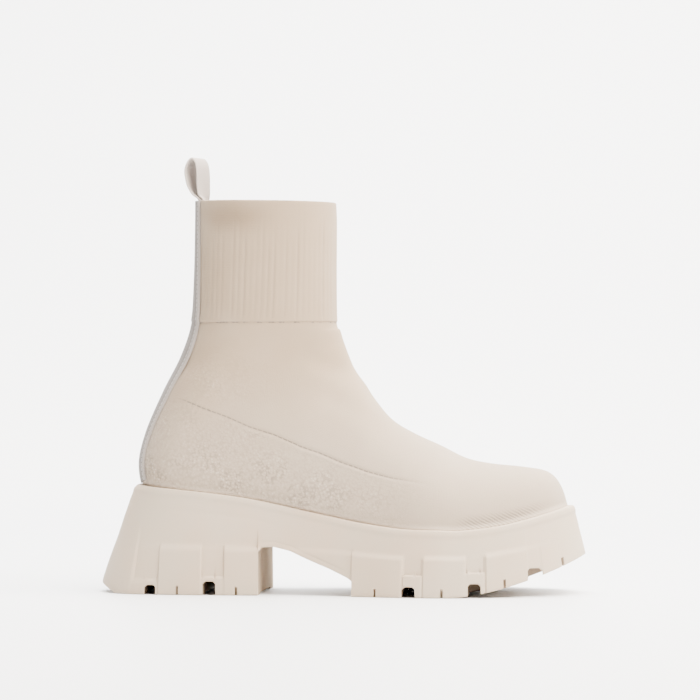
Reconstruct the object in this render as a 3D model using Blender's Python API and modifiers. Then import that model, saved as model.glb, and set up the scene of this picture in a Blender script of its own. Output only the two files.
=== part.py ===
"""A knitted sock boot on a thick lug sole, a right boot, in metres with +Z up.

The toe points along +X and the outer (lateral) side faces -Y. The origin is on the floor under the
middle of the heel block.
"""

import bmesh
import bpy
import numpy as np

# Foot and shaft
FOOT_LENGTH = 0.2538  # outside of the upper, heel back to toe tip
HEEL_BACK = -0.0311  # where the heel's back stands along X
BALL_WIDTH = 0.0916
HEEL_WIDTH = 0.066
INSTEP_HEIGHT = 0.0742  # from the foot's bed to the top of the instep
COLLAR_HEIGHT = 0.2315  # from the floor
SHAFT_DEPTH = 0.0822  # fore and aft
SHAFT_WIDTH = 0.068
TIP_HEIGHT = 0.0490  # from the floor to the foremost point of the toe
WALL = 0.0022  # knit with its lining
CUFF_STEP = 0.0005  # how far the ribbed cuff stands out

# The bed that the foot stands on, measured from the floor to the upper's underside
HEEL_BED = 0.0475
BALL_BED = 0.0245
TOE_BED = 0.0410

# Sole
HEEL_RIM = 0.0640
BALL_RIM = 0.0390
TOE_RIM = 0.0518
RIM_THICKNESS = 0.0028
BEAD = 0.0007
SIDE_FLARE = 0.0042
HEEL_FLARE = 0.0200
TOE_FLARE = 0.0062
LUG_PROUD = 0.0018
TREAD_BEVEL = 0.0010
TOE_SPRING = 0.0228
SPRING_START = 0.735  # share of the foot's length
SPRING_CURVE = 1.6
HEEL_ROLL = 0.0065  # how high the tread has rolled up at the very back
ROLL_LENGTH = 0.0125
GROOVE_WIDTH = 0.0080
GROOVE_DEPTH = 0.0062
HEEL_BREAST = 0.0435  # front of the heel block along X
ARCH_LENGTH = 0.0552
ARCH_HEIGHT = 0.0280

# Small parts
INSOLE_THICKNESS = 0.004
TAPE_WIDTH = 0.032  # on the shaft
TAPE_SPREAD = 1.22  # width round the heel over that on the shaft
TAPE_THICKNESS = 0.0009
LOOP_WIDTH = 0.020
LOOP_THICKNESS = 0.0011
LOOP_RISE = 0.0260  # above the collar
LOOP_TAIL = 0.022  # sewn down below the collar
LOOP_BULGE = 0.0088  # between the two strands at the widest
LOOP_TWIST = np.radians(14)

# Fits
CLEARANCE = 0.0003
TAPE_GAP = 0.0004  # under the back tape
INSOLE_MARGIN = 0.0020  # between the insole's edge and the upper's inside
CUT_PAST = 0.02  # how far a cutter runs past what it cuts

# Fineness
AROUND = 36  # points round a section of the upper
STEPS = 2  # sections for each row of a table
SOLE_STATIONS = 30
TAPE_COLUMNS = 7
OPEN_HALF_ANGLE = np.radians(32)  # half of the opening under the foot, round the section

# The foot, as upright sections. at: share of the foot's length from the heel's back. rise: top of
# the section over the bed, share of the instep height. half: share of half the ball width.
# centre: middle of the section towards the big toe, share of half the ball width.
# widest: where the section is widest, share of its height. top, base: roundness of its two ends,
# 2 for an ellipse and more for a squarer one.
FOOT = [
    # name, at, rise, half, centre, widest, top, base
    ("nose", 0.985, 0.330, 0.375, 0.110, 0.42, 2.2, 2.2),
    ("toe round", 0.954, 0.492, 0.615, 0.098, 0.36, 2.3, 2.6),
    ("toe box", 0.895, 0.606, 0.820, 0.076, 0.33, 2.3, 3.0),
    ("toe joints", 0.824, 0.684, 0.945, 0.048, 0.31, 2.2, 3.2),
    ("vamp point", 0.765, 0.744, 0.996, 0.024, 0.30, 2.15, 3.2),
    ("ball", 0.706, 0.838, 1.000, -0.012, 0.28, 2.05, 3.2),
    ("vamp", 0.644, 0.905, 0.945, -0.035, 0.27, 2.0, 3.1),
]

# Instep, heel and ankle, as sections that fan round the bend of the ankle. front, back: share of
# the foot's length from the heel's back, of the section's two ends. front_rise, back_rise: height
# over the heel's bed, share of the leg's height; a back_rise of 0 is on the bed.
# half: share of half the heel width.
FAN = [
    # name, front, front_rise, back, back_rise, half, centre, widest, top, base
    ("low instep", 0.593, 0.298, 0.549, 0.000, 1.185, -0.045, 0.27, 2.0, 3.0),
    ("instep", 0.5514, 0.365, 0.440, 0.000, 1.085, -0.045, 0.28, 2.0, 2.9),
    ("waist", 0.5298, 0.409, 0.310, 0.000, 1.035, -0.030, 0.29, 2.0, 2.8),
    ("seat front", 0.5161, 0.4355, 0.184, 0.000, 1.015, -0.012, 0.29, 2.0, 2.7),
    ("seat", 0.5071, 0.456, 0.086, 0.002, 1.005, 0.000, 0.28, 2.0, 2.6),
    ("heel corner", 0.4992, 0.476, 0.0235, 0.043, 1.000, 0.000, 0.27, 2.0, 2.45),
    ("heel back", 0.4914, 0.500, 0.000, 0.140, 1.000, 0.000, 0.27, 2.0, 2.3),
    ("heel top", 0.4835, 0.527, 0.0137, 0.247, 0.980, 0.000, 0.30, 2.0, 2.15),
    ("tendon", 0.4757, 0.558, 0.0549, 0.382, 0.945, 0.000, 0.36, 2.0, 2.05),
    ("ankle", 0.4694, 0.586, 0.0981, 0.500, 0.935, 0.000, 0.42, 2.05, 2.05),
]

# The cuff, as level sections. rise: over the heel's bed, share of the leg's height.
# back: share of the foot's length. depth: share of the shaft's depth. drop: how much lower the
# front is, share of the leg's height. half: share of half the shaft's width.
CUFF = [
    # name, rise, drop, back, depth, half, widest, top, base
    ("cuff seam", 0.611, 0.000, 0.1240, 1.040, 0.930, 0.45, 2.1, 2.1),
    ("cuff middle", 0.753, 0.000, 0.1317, 1.010, 0.965, 0.46, 2.15, 2.15),
    ("cuff top", 0.925, 0.002, 0.1345, 1.003, 1.000, 0.47, 2.15, 2.15),
    ("collar", 1.000, 0.006, 0.1350, 0.996, 1.006, 0.47, 2.15, 2.15),
]

# Lines along the sole. at: share of the foot's length. rim and bed: how far each line has climbed
# from the ball to the heel, or from the ball to the toe.
LINES = [
    # name, at, rim, bed
    ("heel", 0.00, 1.000, 1.000),
    ("heel seat", 0.14, 0.867, 1.000),
    ("breast", 0.25, 0.730, 0.985),
    ("waist", 0.325, 0.585, 0.910),
    ("arch", 0.395, 0.430, 0.760),
    ("arch front", 0.475, 0.265, 0.565),
    ("rise of the ball", 0.53, 0.155, 0.430),
    ("behind the ball", 0.628, 0.025, 0.150),
    ("ball", 0.715, 0.000, 0.005),
    ("ball front", 0.77, 0.000, 0.000),
    ("toe joints", 0.85, 0.200, 0.130),
    ("toe box", 0.925, 0.560, 0.460),
    ("toe", 0.985, 0.920, 0.860),
    ("tip", 1.00, 1.000, 1.000),
]
BALL_AT = 0.77

# Steps up the sole's side. of: the lug zone, from tread to lug top, or the wall above it.
# height: share of that zone. flare: share of the flare. proud: share of how far lugs stand out.
# bead: share of the rim's bead.
LEVELS = [
    # of, height, flare, proud, bead
    ("lug", 0.00, 1.00, 1.00, 0.0),
    ("lug", 0.06, 1.00, 1.00, 0.0),
    ("lug", 0.45, 0.83, 1.00, 0.0),
    ("lug", 0.50, 0.81, 1.00, 0.0),
    ("lug", 0.93, 0.62, 1.00, 0.0),
    ("lug", 1.00, 0.60, 0.00, 0.0),
    ("wall", 0.42, 0.42, 0.00, 0.0),
    ("wall", 0.76, 0.24, 0.00, 0.0),
    ("wall", 0.82, 0.20, 0.00, 1.0),
    ("wall", 0.94, 0.12, 0.00, 1.0),
    ("wall", 1.00, 0.00, 0.00, 0.0),
]
TREAD_EDGE = 0
BRIDGE_TOP = 2  # the level up to which a bar closes the gap between two lugs

# Height of the lug zone, share of the side's height, at shares of the foot's length
LUG_ZONE = [
    # at, share
    (0.00, 0.50),
    (0.27, 0.54),
    (0.50, 0.60),
    (0.72, 0.62),
    (0.86, 0.50),
    (1.00, 0.36),
]

# Gaps between the side lugs, where they start and end as shares of the foot's length
GAPS = [
    # name, start, end
    ("behind the rear block", 0.026, 0.070),
    ("heel middle", 0.164, 0.219),
    ("forefoot first", 0.627, 0.675),
    ("forefoot second", 0.772, 0.821),
    ("forefoot third", 0.914, 0.949),
]

# Grooves across the tread. at: share of the foot's length. width, depth: shares of the named groove
GROOVES = [
    # name, at, width, depth
    ("heel rear", 0.0415, 0.81, 0.90),
    ("heel middle", 0.1805, 0.98, 1.29),
    ("forefoot first", 0.643, 0.96, 1.00),
    ("forefoot second", 0.7935, 0.96, 1.05),
    ("forefoot third", 0.932, 1.10, 0.90),
]

# Underside of the arch. along: share of the arch's length from the heel's breast.
# up: share of the arch's height.
ARCH = [
    # along, up
    (0.000, 0.90),
    (0.035, 1.00),
    (0.160, 1.01),
    (0.330, 0.93),
    (0.510, 0.765),
    (0.760, 0.56),
    (0.950, 0.38),
    (1.000, 0.30),
]

# Pull loop over the collar, from its front strand over the top to its back strand. out: from the
# front strand backwards, share of the bulge. up: share of the rise. twist: share of the twist.
# hug: how far the strap is bent round the heel's curve, 1 where it lies on it.
LOOP = [
    # out, up, twist, hug
    (0.00, 0.03, 0.00, 1.10),
    (0.00, 0.16, 0.50, 0.70),
    (0.01, 0.38, 1.00, 0.25),
    (0.03, 0.66, 1.00, 0.10),
    (0.15, 0.88, 1.00, 0.00),
    (0.48, 1.00, 1.00, 0.00),
    (0.84, 0.90, 1.00, 0.00),
    (1.00, 0.71, 1.00, 0.00),
    (0.91, 0.50, 1.00, 0.10),
    (0.71, 0.34, 0.95, 0.25),
    (0.44, 0.17, 0.55, 0.70),
    (0.24, 0.03, 0.00, 1.10),
]
# Its two ends, sewn down inside the collar. up: share of the tail, below the collar.
LOOP_ENDS = [-0.12, -0.50, -1.00]
END_HUG = 1.10

KNIT = {"color": (0.690, 0.622, 0.540, 1), "rough": 0.9}
RUBBER = {"color": (0.730, 0.665, 0.590, 1), "rough": 0.55}
LINING = {"color": (0.640, 0.590, 0.520, 1), "rough": 0.95}
WEBBING = {"color": (0.640, 0.600, 0.560, 1), "rough": 0.85}


def along(share):
    """X at a share of the foot's length from the heel's back."""
    return HEEL_BACK + share * FOOT_LENGTH


def share_of(x):
    """The share of the foot's length at X."""
    return (x - HEEL_BACK) / FOOT_LENGTH


def smooth(rows, steps, before=None):
    """Rows with steps - 1 more between each two, on a Catmull-Rom curve through them.

    before is the row that comes before the first. Without it the curve runs out straight.
    """
    rows = np.array(rows, float)
    first = 2 * rows[0] - rows[1] if before is None else np.array(before, float)
    last = 2 * rows[-1] - rows[-2]
    padded = np.vstack([first, rows, last])
    made = []
    for index in range(len(rows) - 1):
        a, b, c, d = padded[index : index + 4]
        for step in range(steps):
            t = step / steps
            bend = 2 * b + (c - a) * t + (2 * a - 5 * b + 4 * c - d) * t**2
            made.append(0.5 * (bend + (3 * b - a - 3 * c + d) * t**3))
    made.append(rows[-1])
    return np.array(made)


FINE_LINES = smooth([row[1:] for row in LINES], 4)


def line_height(x, column, heel, ball, toe):
    """Height of the rim or the bed at X, between its heights at heel, ball and toe."""
    share = np.clip(share_of(x), 0, 1)
    climbed = np.interp(share, FINE_LINES[:, 0], FINE_LINES[:, column])
    return ball + climbed * np.where(share < BALL_AT, heel - ball, toe - ball)


def rim_height(x):
    return line_height(x, 1, HEEL_RIM, BALL_RIM, TOE_RIM)


def bed_height(x):
    return line_height(x, 2, HEEL_BED, BALL_BED, TOE_BED)


def tread_height(x):
    """Height of the tread over the floor: flat, then rolled up at the heel and sprung at the toe."""
    back = HEEL_BACK - RIM_THICKNESS - HEEL_FLARE - LUG_PROUD
    rolled = np.clip((back + ROLL_LENGTH - x) / ROLL_LENGTH, 0, 1)
    spring_start = along(SPRING_START)
    tip = along(1) + RIM_THICKNESS + TOE_FLARE + LUG_PROUD
    sprung = np.clip((x - spring_start) / (tip - spring_start), 0, 1)
    return HEEL_ROLL * rolled + TOE_SPRING * sprung**SPRING_CURVE


def section_rows():
    """Rows of front x, z, back x, z, half width, centre y, widest, top and base roundness."""
    leg = COLLAR_HEIGHT - HEEL_BED
    rows = []
    for _, at, rise, half, centre, widest, top, base in FOOT:
        x = along(at)
        bed = float(bed_height(x))
        half_ball = BALL_WIDTH / 2
        high = bed + rise * INSTEP_HEIGHT
        rows.append((x, high, x, bed, half * half_ball, centre * half_ball, widest, top, base))
    for _, front, front_rise, back, back_rise, half, centre, widest, top, base in FAN:
        back_x = along(back)
        high = HEEL_BED + front_rise * leg
        low = float(bed_height(back_x)) + back_rise * leg
        half_heel = HEEL_WIDTH / 2
        size = (half * half_heel, centre * half_heel)
        rows.append((along(front), high, back_x, low, *size, widest, top, base))
    for _, rise, drop, back, depth, half, widest, top, base in CUFF:
        back_x = along(back)
        low = HEEL_BED + rise * leg
        front_x = back_x + depth * SHAFT_DEPTH
        half_shaft = half * SHAFT_WIDTH / 2
        rows.append((front_x, low - drop * leg, back_x, low, half_shaft, 0, widest, top, base))
    return np.array(rows)


def fine_rows():
    """All the sections, from the toe's tip to the collar, with a step in the wall at the cuff."""
    rows = section_rows()
    tip = rows[0].copy()
    tip[[0, 2]] = along(1)
    tip[[1, 3]] = TIP_HEIGHT
    tip[4] = 0
    mirrored = rows[0].copy()
    mirrored[[0, 1, 2, 3]] = rows[0][[2, 3, 0, 1]]
    mirrored[4] = -rows[0][4]
    rows = smooth(np.vstack([tip, rows]), STEPS, mirrored)
    seam = STEPS * (1 + len(FOOT) + len(FAN))
    edge = rows[seam] + 0.06 * (rows[seam - 1] - rows[seam])
    rows = np.insert(rows, seam, edge, axis=0)
    step = np.zeros(len(rows))
    step[seam + 1 :] = CUFF_STEP
    return rows, step


def section_points(rows, angles):
    """Points on each section at the given angles, 0 at its front and pi at its back."""
    front_x, front_z, back_x, back_z, half, centre, widest, top, base = rows.T[:, :, None]
    cosine, sine = np.cos(angles), np.sin(angles)
    power = 2 / np.where(cosine >= 0, top, base)
    reach = np.abs(cosine) ** power
    height = np.where(cosine >= 0, widest + (1 - widest) * reach, widest * (1 - reach))
    y = centre - half * np.sign(sine) * np.abs(sine) ** power
    x = back_x + (front_x - back_x) * height
    z = back_z + (front_z - back_z) * height
    return np.stack([x, y, z], axis=2)


def outward(points):
    """Unit normals of a grid of sections that closes round each section."""
    up = np.gradient(points, axis=0)
    turn = np.roll(points, -1, axis=1) - np.roll(points, 1, axis=1)
    normal = np.cross(up, turn)
    normal /= np.maximum(np.linalg.norm(normal, axis=2, keepdims=True), 1e-12)
    normal[0] = (1, 0, 0)
    return normal


ROWS, STEP = fine_rows()
ANGLES = np.arange(AROUND) * 2 * np.pi / AROUND


def form(offset):
    """The upper's outer form, moved outwards by offset, as a grid of sections."""
    points = section_points(ROWS, ANGLES)
    return points + outward(points) * (STEP + offset)[:, None, None]


def outline_at(points, level):
    """Where the form crosses the height level(x), as rows of x and y for each side.

    Both sides run from the heel's back to the toe's tip.
    """
    sides = []
    half = AROUND // 2
    for columns in (range(0, half + 1), range(AROUND, half - 1, -1)):
        crossings = []
        for row in points[1:]:
            ring = row[[column % AROUND for column in columns]]
            over = ring[:, 2] - level(ring[:, 0])
            for upper, lower in zip(range(half), range(1, half + 1)):
                if over[upper] > 0 >= over[lower]:
                    share = over[upper] / (over[upper] - over[lower])
                    crossings.append(ring[upper] + share * (ring[lower] - ring[upper]))
                    break
        crossings = np.array(crossings)
        spine = points[:, half]
        over = spine[:, 2] - level(spine[:, 0])
        last = np.nonzero((over[:-1] <= 0) & (over[1:] > 0))[0][-1]
        share = over[last] / (over[last] - over[last + 1])
        back = spine[last] + share * (spine[last + 1] - spine[last])
        side = np.vstack([points[0, 0], crossings, back])[:, :2]
        sides.append(side[np.argsort(side[:, 0])])
    return sides


def plan(sides, x):
    """The two sides' y at each X, rounded at both ends."""
    found = []
    back, tip = sides[0][0], sides[0][-1]
    for side in sides:
        middle = np.interp(side[:, 0], [back[0], tip[0]], [back[1], tip[1]])
        squared = np.interp(x, side[:, 0], (side[:, 1] - middle) ** 2)
        at_x = np.interp(x, [back[0], tip[0]], [back[1], tip[1]])
        found.append((at_x, np.sqrt(squared)))
    return found[0][0] - found[0][1], found[1][0] + found[1][1]


def loop_of(sides, x):
    """One closed loop: back, lateral side, tip, medial side."""
    lateral, medial = plan(sides, x)
    there = np.stack([x, lateral], axis=1)
    home = np.stack([x, medial], axis=1)[-2:0:-1]
    return np.vstack([there, home])


def loop_normals(loop):
    turn = np.roll(loop, -1, axis=0) - np.roll(loop, 1, axis=0)
    normal = np.stack([turn[:, 1], -turn[:, 0]], axis=1)
    return normal / np.linalg.norm(normal, axis=1, keepdims=True)


def even_stations(start, end, count):
    """X from start to end, closer together at both ends."""
    turn = np.linspace(0, np.pi, count)
    return start + (end - start) * (1 - np.cos(turn)) / 2


def add_material(name, look):
    material = bpy.data.materials.new(name)
    material.use_nodes = True
    shader = material.node_tree.nodes["Principled BSDF"]
    shader.inputs["Base Color"].default_value = look["color"]
    shader.inputs["Roughness"].default_value = look["rough"]
    shader.inputs["Metallic"].default_value = 0
    material.diffuse_color = look["color"]
    return material


def add_object(name, points, faces, collection, material=None, is_open=False):
    """An object from points and faces. A closed one has its faces turned outwards."""
    mesh = bpy.data.meshes.new(name)
    mesh.from_pydata([tuple(point) for point in points], [], faces)
    if not is_open:
        work = bmesh.new()
        work.from_mesh(mesh)
        bmesh.ops.recalc_face_normals(work, faces=work.faces)
        work.to_mesh(mesh)
        work.free()
    mesh.shade_smooth()
    mesh.set_sharp_from_angle(angle=np.radians(35))
    made = bpy.data.objects.new(name, mesh)
    collection.objects.link(made)
    if material:
        mesh.materials.append(material)
    else:
        made.hide_render = True
        made.display_type = "WIRE"
    return made


def ring_faces(count, around, keep=None):
    """Quads between rings of points, without those that keep(row, column) turns down."""
    faces = []
    for row in range(count - 1):
        for column in range(around):
            if keep and not keep(row, column):
                continue
            after = (column + 1) % around
            here, above = row * around, (row + 1) * around
            faces.append((here + column, above + column, above + after, here + after))
    return faces


def strip_faces(start, around):
    """Faces across one closed loop, from its lateral side to its medial side."""
    half = around // 2
    faces = [(start, start + 1, start + around - 1)]
    for column in range(1, half - 1):
        other = start + around - column
        faces.append((start + column, start + column + 1, other - 1, other))
    faces.append((start + half - 1, start + half, start + half + 1))
    return faces


def pole_faces(points, keep=None):
    """Points and faces of a form whose first section is the single point of the toe's tip."""
    rings = points[1:].reshape(-1, 3)
    faces = ring_faces(len(points) - 1, AROUND, keep)
    pole = len(rings)
    faces += [(pole, column, (column + 1) % AROUND) for column in range(AROUND)]
    return np.vstack([rings, points[0, :1]]), faces


def add_modifier(made, name, kind, **settings):
    modifier = made.modifiers.new(name, kind)
    for key, value in settings.items():
        setattr(modifier, key, value)
    return modifier


def cut(made, cutter):
    add_modifier(made, cutter.name, "BOOLEAN", operation="DIFFERENCE", object=cutter)


def add_upper(collection):
    """The knitted sock: its outer form, open at the collar and under the foot, with its wall."""
    toe_row = STEPS * 2
    seat_row = STEPS * (len(FOOT) + 5)
    bottom = AROUND / 2

    def keep(row, column):
        from_bottom = abs(column + 0.5 - bottom) * 2 * np.pi / AROUND
        return not (toe_row <= row < seat_row and from_bottom < OPEN_HALF_ANGLE)

    points, faces = pole_faces(form(0), keep)
    upper = add_object("upper", points, faces, collection, add_material("knit", KNIT), True)
    add_modifier(
        upper,
        "wall",
        "SOLIDIFY",
        thickness=WALL,
        offset=-1,
        use_rim=True,
        use_even_offset=True,
        use_quality_normals=True,
    )
    return upper


def add_prism(name, profile, reach, collection):
    """A cutter that runs along Y, from a closed outline of x and z."""
    count = len(profile)
    near = [(x, -reach, z) for x, z in profile]
    far = [(x, reach, z) for x, z in profile]
    faces = [tuple(range(count)), tuple(range(2 * count - 1, count - 1, -1))]
    for index in range(count):
        after = (index + 1) % count
        faces.append((index, after, after + count, index + count))
    return add_object(name, near + far, faces, collection)


def level_offset(level, normal):
    """How far a level of the side stands outside the upper, without lugs."""
    flare, bead = LEVELS[level][2], LEVELS[level][4]
    back = np.clip(-normal[:, 0], 0, 1) ** 2
    toe = np.clip(normal[:, 0], 0, 1) ** 2
    full = SIDE_FLARE + (HEEL_FLARE - SIDE_FLARE) * back + (TOE_FLARE - SIDE_FLARE) * toe
    return RIM_THICKNESS + flare * full + bead * BEAD


def sole_stations(feather):
    """X of the sole's stations on the feather line, with a pair at each side of every gap."""
    back, tip = feather[0][0][0], feather[0][-1][0]
    x = even_stations(back, tip, 400)
    loop = loop_of(feather, x)
    normal = loop_normals(loop)
    outer = (loop + normal * level_offset(BRIDGE_TOP, normal)[:, None])[: len(x), 0]
    edges = []
    for _, start, end in GAPS:
        for share in (start, end):
            edges.append(np.interp(along(share), outer, x))
    slope = 0.0005
    pairs = np.array([[edge - slope, edge + slope] for edge in edges]).ravel()
    even = even_stations(back, tip, SOLE_STATIONS)
    clear = [value for value in even if np.abs(pairs - value).min() > 3 * slope]
    return np.sort(np.concatenate([clear, pairs])), edges


def add_sole(collection, cutters):
    """The moulded unit: tread, lugs, wall and rim as loops round the feather line, then cuts."""
    feather = outline_at(form(0), rim_height)
    stations, edges = sole_stations(feather)
    loop = loop_of(feather, stations)
    normal = loop_normals(loop)
    around = len(loop)
    in_gap = np.zeros(around, bool)
    for start, end in zip(edges[::2], edges[1::2]):
        in_gap |= (loop[:, 0] > start) & (loop[:, 0] < end)
    rim = rim_height(loop[:, 0])
    zone_at, zone_share = np.array(LUG_ZONE).T
    zone = np.interp(share_of(loop[:, 0]), zone_at, zone_share)
    tread_reach = level_offset(TREAD_EDGE, normal) + LUG_PROUD
    tread = tread_height(loop[:, 0] + normal[:, 0] * tread_reach)
    lug_top = tread + zone * (rim - tread)
    rings = []
    for level, (of, height, _, proud, _) in enumerate(LEVELS):
        reach = level_offset(level, normal)
        gap_proud = proud if level <= BRIDGE_TOP else 0
        reach = reach + LUG_PROUD * np.where(in_gap, gap_proud, proud)
        if level == TREAD_EDGE:
            reach = reach - TREAD_BEVEL
        low, high = (tread, lug_top) if of == "lug" else (lug_top, rim)
        z = low + height * (high - low)
        rings.append(np.column_stack([loop + normal * reach[:, None], z]))
    points = np.vstack(rings)
    faces = ring_faces(len(rings), around)
    faces += strip_faces(0, around)
    faces += strip_faces(around * (len(rings) - 1), around)
    sole = add_object("sole", points, faces, collection, add_material("rubber", RUBBER))

    arch = [(HEEL_BREAST + a * ARCH_LENGTH, up * ARCH_HEIGHT) for a, up in ARCH]
    ends = [(HEEL_BREAST + ARCH_LENGTH, -CUT_PAST), (HEEL_BREAST, -CUT_PAST)]
    cut(sole, add_prism("arch cut", arch + ends, BALL_WIDTH, cutters))
    for name, at, width, depth in GROOVES:
        x = along(at)
        base = float(tread_height(x))
        half = width * GROOVE_WIDTH / 2
        top = base + depth * GROOVE_DEPTH
        profile = [
            (x - half, base - CUT_PAST),
            (x - half, top - 0.45 * half),
            (x - 0.62 * half, top),
            (x + 0.62 * half, top),
            (x + half, top - 0.45 * half),
            (x + half, base - CUT_PAST),
        ]
        cut(sole, add_prism(name + " groove", profile, BALL_WIDTH, cutters))
    cup_points, cup_faces = pole_faces(form(CLEARANCE))
    last = (len(ROWS) - 2) * AROUND
    cup_faces.append(tuple(range(last, last + AROUND)))
    cut(sole, add_object("cup cut", cup_points, cup_faces, cutters))
    return sole


def add_insole(collection):
    """The board in the sock, inside the upper's wall and on its turned-in edge."""
    inner = form(-(WALL + CLEARANCE))
    under = WALL + 2.5 * CLEARANCE
    rings = []
    for lift in (under, under + INSOLE_THICKNESS):
        sides = outline_at(inner, lambda x: bed_height(x) + lift)
        x = even_stations(sides[0][0][0], sides[0][-1][0], SOLE_STATIONS)
        loop = loop_of(sides, x)
        height = bed_height(loop[:, 0]) + lift
        loop = loop - loop_normals(loop) * INSOLE_MARGIN
        rings.append(np.column_stack([loop, height]))
    around = len(rings[0])
    faces = ring_faces(2, around) + strip_faces(0, around) + strip_faces(around, around)
    material = add_material("lining", LINING)
    return add_object("insole", np.vstack(rings), faces, collection, material)


def add_back_tape(collection):
    """The tape up the back, from just over the sole's rim to the collar."""
    over_rim = ROWS[:, 3] - rim_height(ROWS[:, 2]) - 2 * CLEARANCE
    below = np.nonzero(over_rim[:-1] * over_rim[1:] < 0)[0][-1]
    share = over_rim[below] / (over_rim[below] - over_rim[below + 1])
    start = ROWS[below] + share * (ROWS[below + 1] - ROWS[below])
    rows = np.vstack([start, ROWS[below + 1 :]])
    step = STEP[below:]
    half, base = rows[:, 4], rows[:, 8]
    down = np.clip((COLLAR_HEIGHT - rows[:, 3]) / (COLLAR_HEIGHT - HEEL_RIM), 0, 1)
    width = TAPE_WIDTH * (1 + (TAPE_SPREAD - 1) * down)
    reach = np.arcsin(np.clip(width / 2 / half, 0, 0.95) ** (base / 2))
    spread = np.linspace(-1, 1, TAPE_COLUMNS)
    shape = np.stack([
        section_points(row[None], np.pi + spread * angle)[0] for row, angle in zip(rows, reach)
    ])
    up = np.gradient(shape, axis=0)
    normal = np.cross(up, np.gradient(shape, axis=1))
    normal /= np.linalg.norm(normal, axis=2, keepdims=True)
    shape = shape + normal * (step + TAPE_GAP)[:, None, None]
    faces = []
    for row in range(len(rows) - 1):
        for column in range(TAPE_COLUMNS - 1):
            here = row * TAPE_COLUMNS + column
            above = here + TAPE_COLUMNS
            faces.append((here, above, above + 1, here + 1))
    look = add_material("tape", WEBBING)
    tape = add_object("back_tape", shape.reshape(-1, 3), faces, collection, look, True)
    add_modifier(tape, "thickness", "SOLIDIFY", thickness=TAPE_THICKNESS, offset=1, use_rim=True)
    return tape


def add_pull_loop(collection):
    """The webbing loop: a strap carried along its path, twisted and bent across."""
    collar = ROWS[-1]
    back, top = collar[2], collar[3]
    back_end = back - CUFF_STEP + WALL + 2 * CLEARANCE + LOOP_THICKNESS / 2
    front_end = back_end + LOOP_THICKNESS + CLEARANCE
    rows = [(front_end, top + up * LOOP_TAIL, 0, END_HUG) for up in LOOP_ENDS[::-1]]
    for out, up, twist, hug in LOOP:
        rows.append((front_end - out * LOOP_BULGE, top + up * LOOP_RISE, twist * LOOP_TWIST, hug))
    rows += [(back_end, top + up * LOOP_TAIL, 0, END_HUG) for up in LOOP_ENDS]
    x, z, twist, hug = smooth(rows, 3).T
    across = np.linspace(-0.5, 0.5, 5) * LOOP_WIDTH
    radius = collar[4] ** 2 / (collar[6] * SHAFT_DEPTH)
    sag = across**2 / (2 * radius)
    lean_x = across * np.sin(twist)[:, None] + sag * hug[:, None]
    lean_y = across * np.cos(twist)[:, None]
    points = np.stack([x[:, None] + lean_x, lean_y, z[:, None] + 0 * lean_y], axis=2)
    count = len(across)
    faces = []
    for row in range(len(points) - 1):
        for column in range(count - 1):
            here = row * count + column
            faces.append((here, here + 1, here + count + 1, here + count))
    material = add_material("webbing", WEBBING)
    strap = add_object("pull_loop", points.reshape(-1, 3), faces, collection, material, True)
    add_modifier(strap, "thickness", "SOLIDIFY", thickness=LOOP_THICKNESS, offset=0, use_rim=True)
    return strap


def main():
    for old in list(bpy.data.objects):
        bpy.data.objects.remove(old, do_unlink=True)
    boot = bpy.data.collections.new("sock_boot")
    cutters = bpy.data.collections.new("cutters")
    cutters.hide_render = True
    bpy.context.scene.collection.children.link(boot)
    bpy.context.scene.collection.children.link(cutters)
    add_sole(boot, cutters)
    add_upper(boot)
    add_insole(boot)
    add_back_tape(boot)
    add_pull_loop(boot)


main()
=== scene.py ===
"""Looks of a knitted sock boot on a thick lug sole, a right boot, in metres with +Z up.

The toe points along +X and the outer side faces -Y. The file is laid out as a Blender add-on, and
is run as a script around the packed model.
"""

import bmesh
import bpy
import numpy as np
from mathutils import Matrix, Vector


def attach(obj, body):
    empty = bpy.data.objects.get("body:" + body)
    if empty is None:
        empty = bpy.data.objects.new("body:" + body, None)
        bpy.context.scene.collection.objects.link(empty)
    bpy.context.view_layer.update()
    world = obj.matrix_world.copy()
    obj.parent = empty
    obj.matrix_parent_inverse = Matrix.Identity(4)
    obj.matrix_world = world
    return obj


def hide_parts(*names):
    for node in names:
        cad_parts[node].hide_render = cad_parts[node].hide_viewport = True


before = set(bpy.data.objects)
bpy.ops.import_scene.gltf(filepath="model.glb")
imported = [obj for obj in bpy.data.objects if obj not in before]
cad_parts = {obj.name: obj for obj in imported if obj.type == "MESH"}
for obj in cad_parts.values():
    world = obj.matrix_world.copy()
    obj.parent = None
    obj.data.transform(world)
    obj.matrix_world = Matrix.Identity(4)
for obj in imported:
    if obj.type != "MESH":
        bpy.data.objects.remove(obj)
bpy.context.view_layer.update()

bl_info = {
    "name": "Sock boot looks",
    "version": (1, 0, 0),
    "blender": (4, 5, 0),
    "location": "3D View > Sidebar > Sock boot",
    "description": "Knit, tape, webbing and moulded sole of a sock boot, with its stage",
    "category": "Object",
}

BODY = "root"

# Foot and shaft
FOOT_LENGTH = 0.2538  # outside of the upper, heel back to toe tip
HEEL_BACK = -0.0311  # where the heel's back stands along X
BALL_WIDTH = 0.0916
HEEL_WIDTH = 0.066
INSTEP_HEIGHT = 0.0742  # from the foot's bed to the top of the instep
COLLAR_HEIGHT = 0.2315  # from the floor
SHAFT_DEPTH = 0.0822  # fore and aft
SHAFT_WIDTH = 0.068
TIP_HEIGHT = 0.0490  # from the floor to the foremost point of the toe
WALL = 0.0022  # knit with its lining
CUFF_STEP = 0.0005  # how far the ribbed cuff stands out

# The bed that the foot stands on, measured from the floor to the upper's underside
HEEL_BED = 0.0475
BALL_BED = 0.0245
TOE_BED = 0.0410

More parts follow.
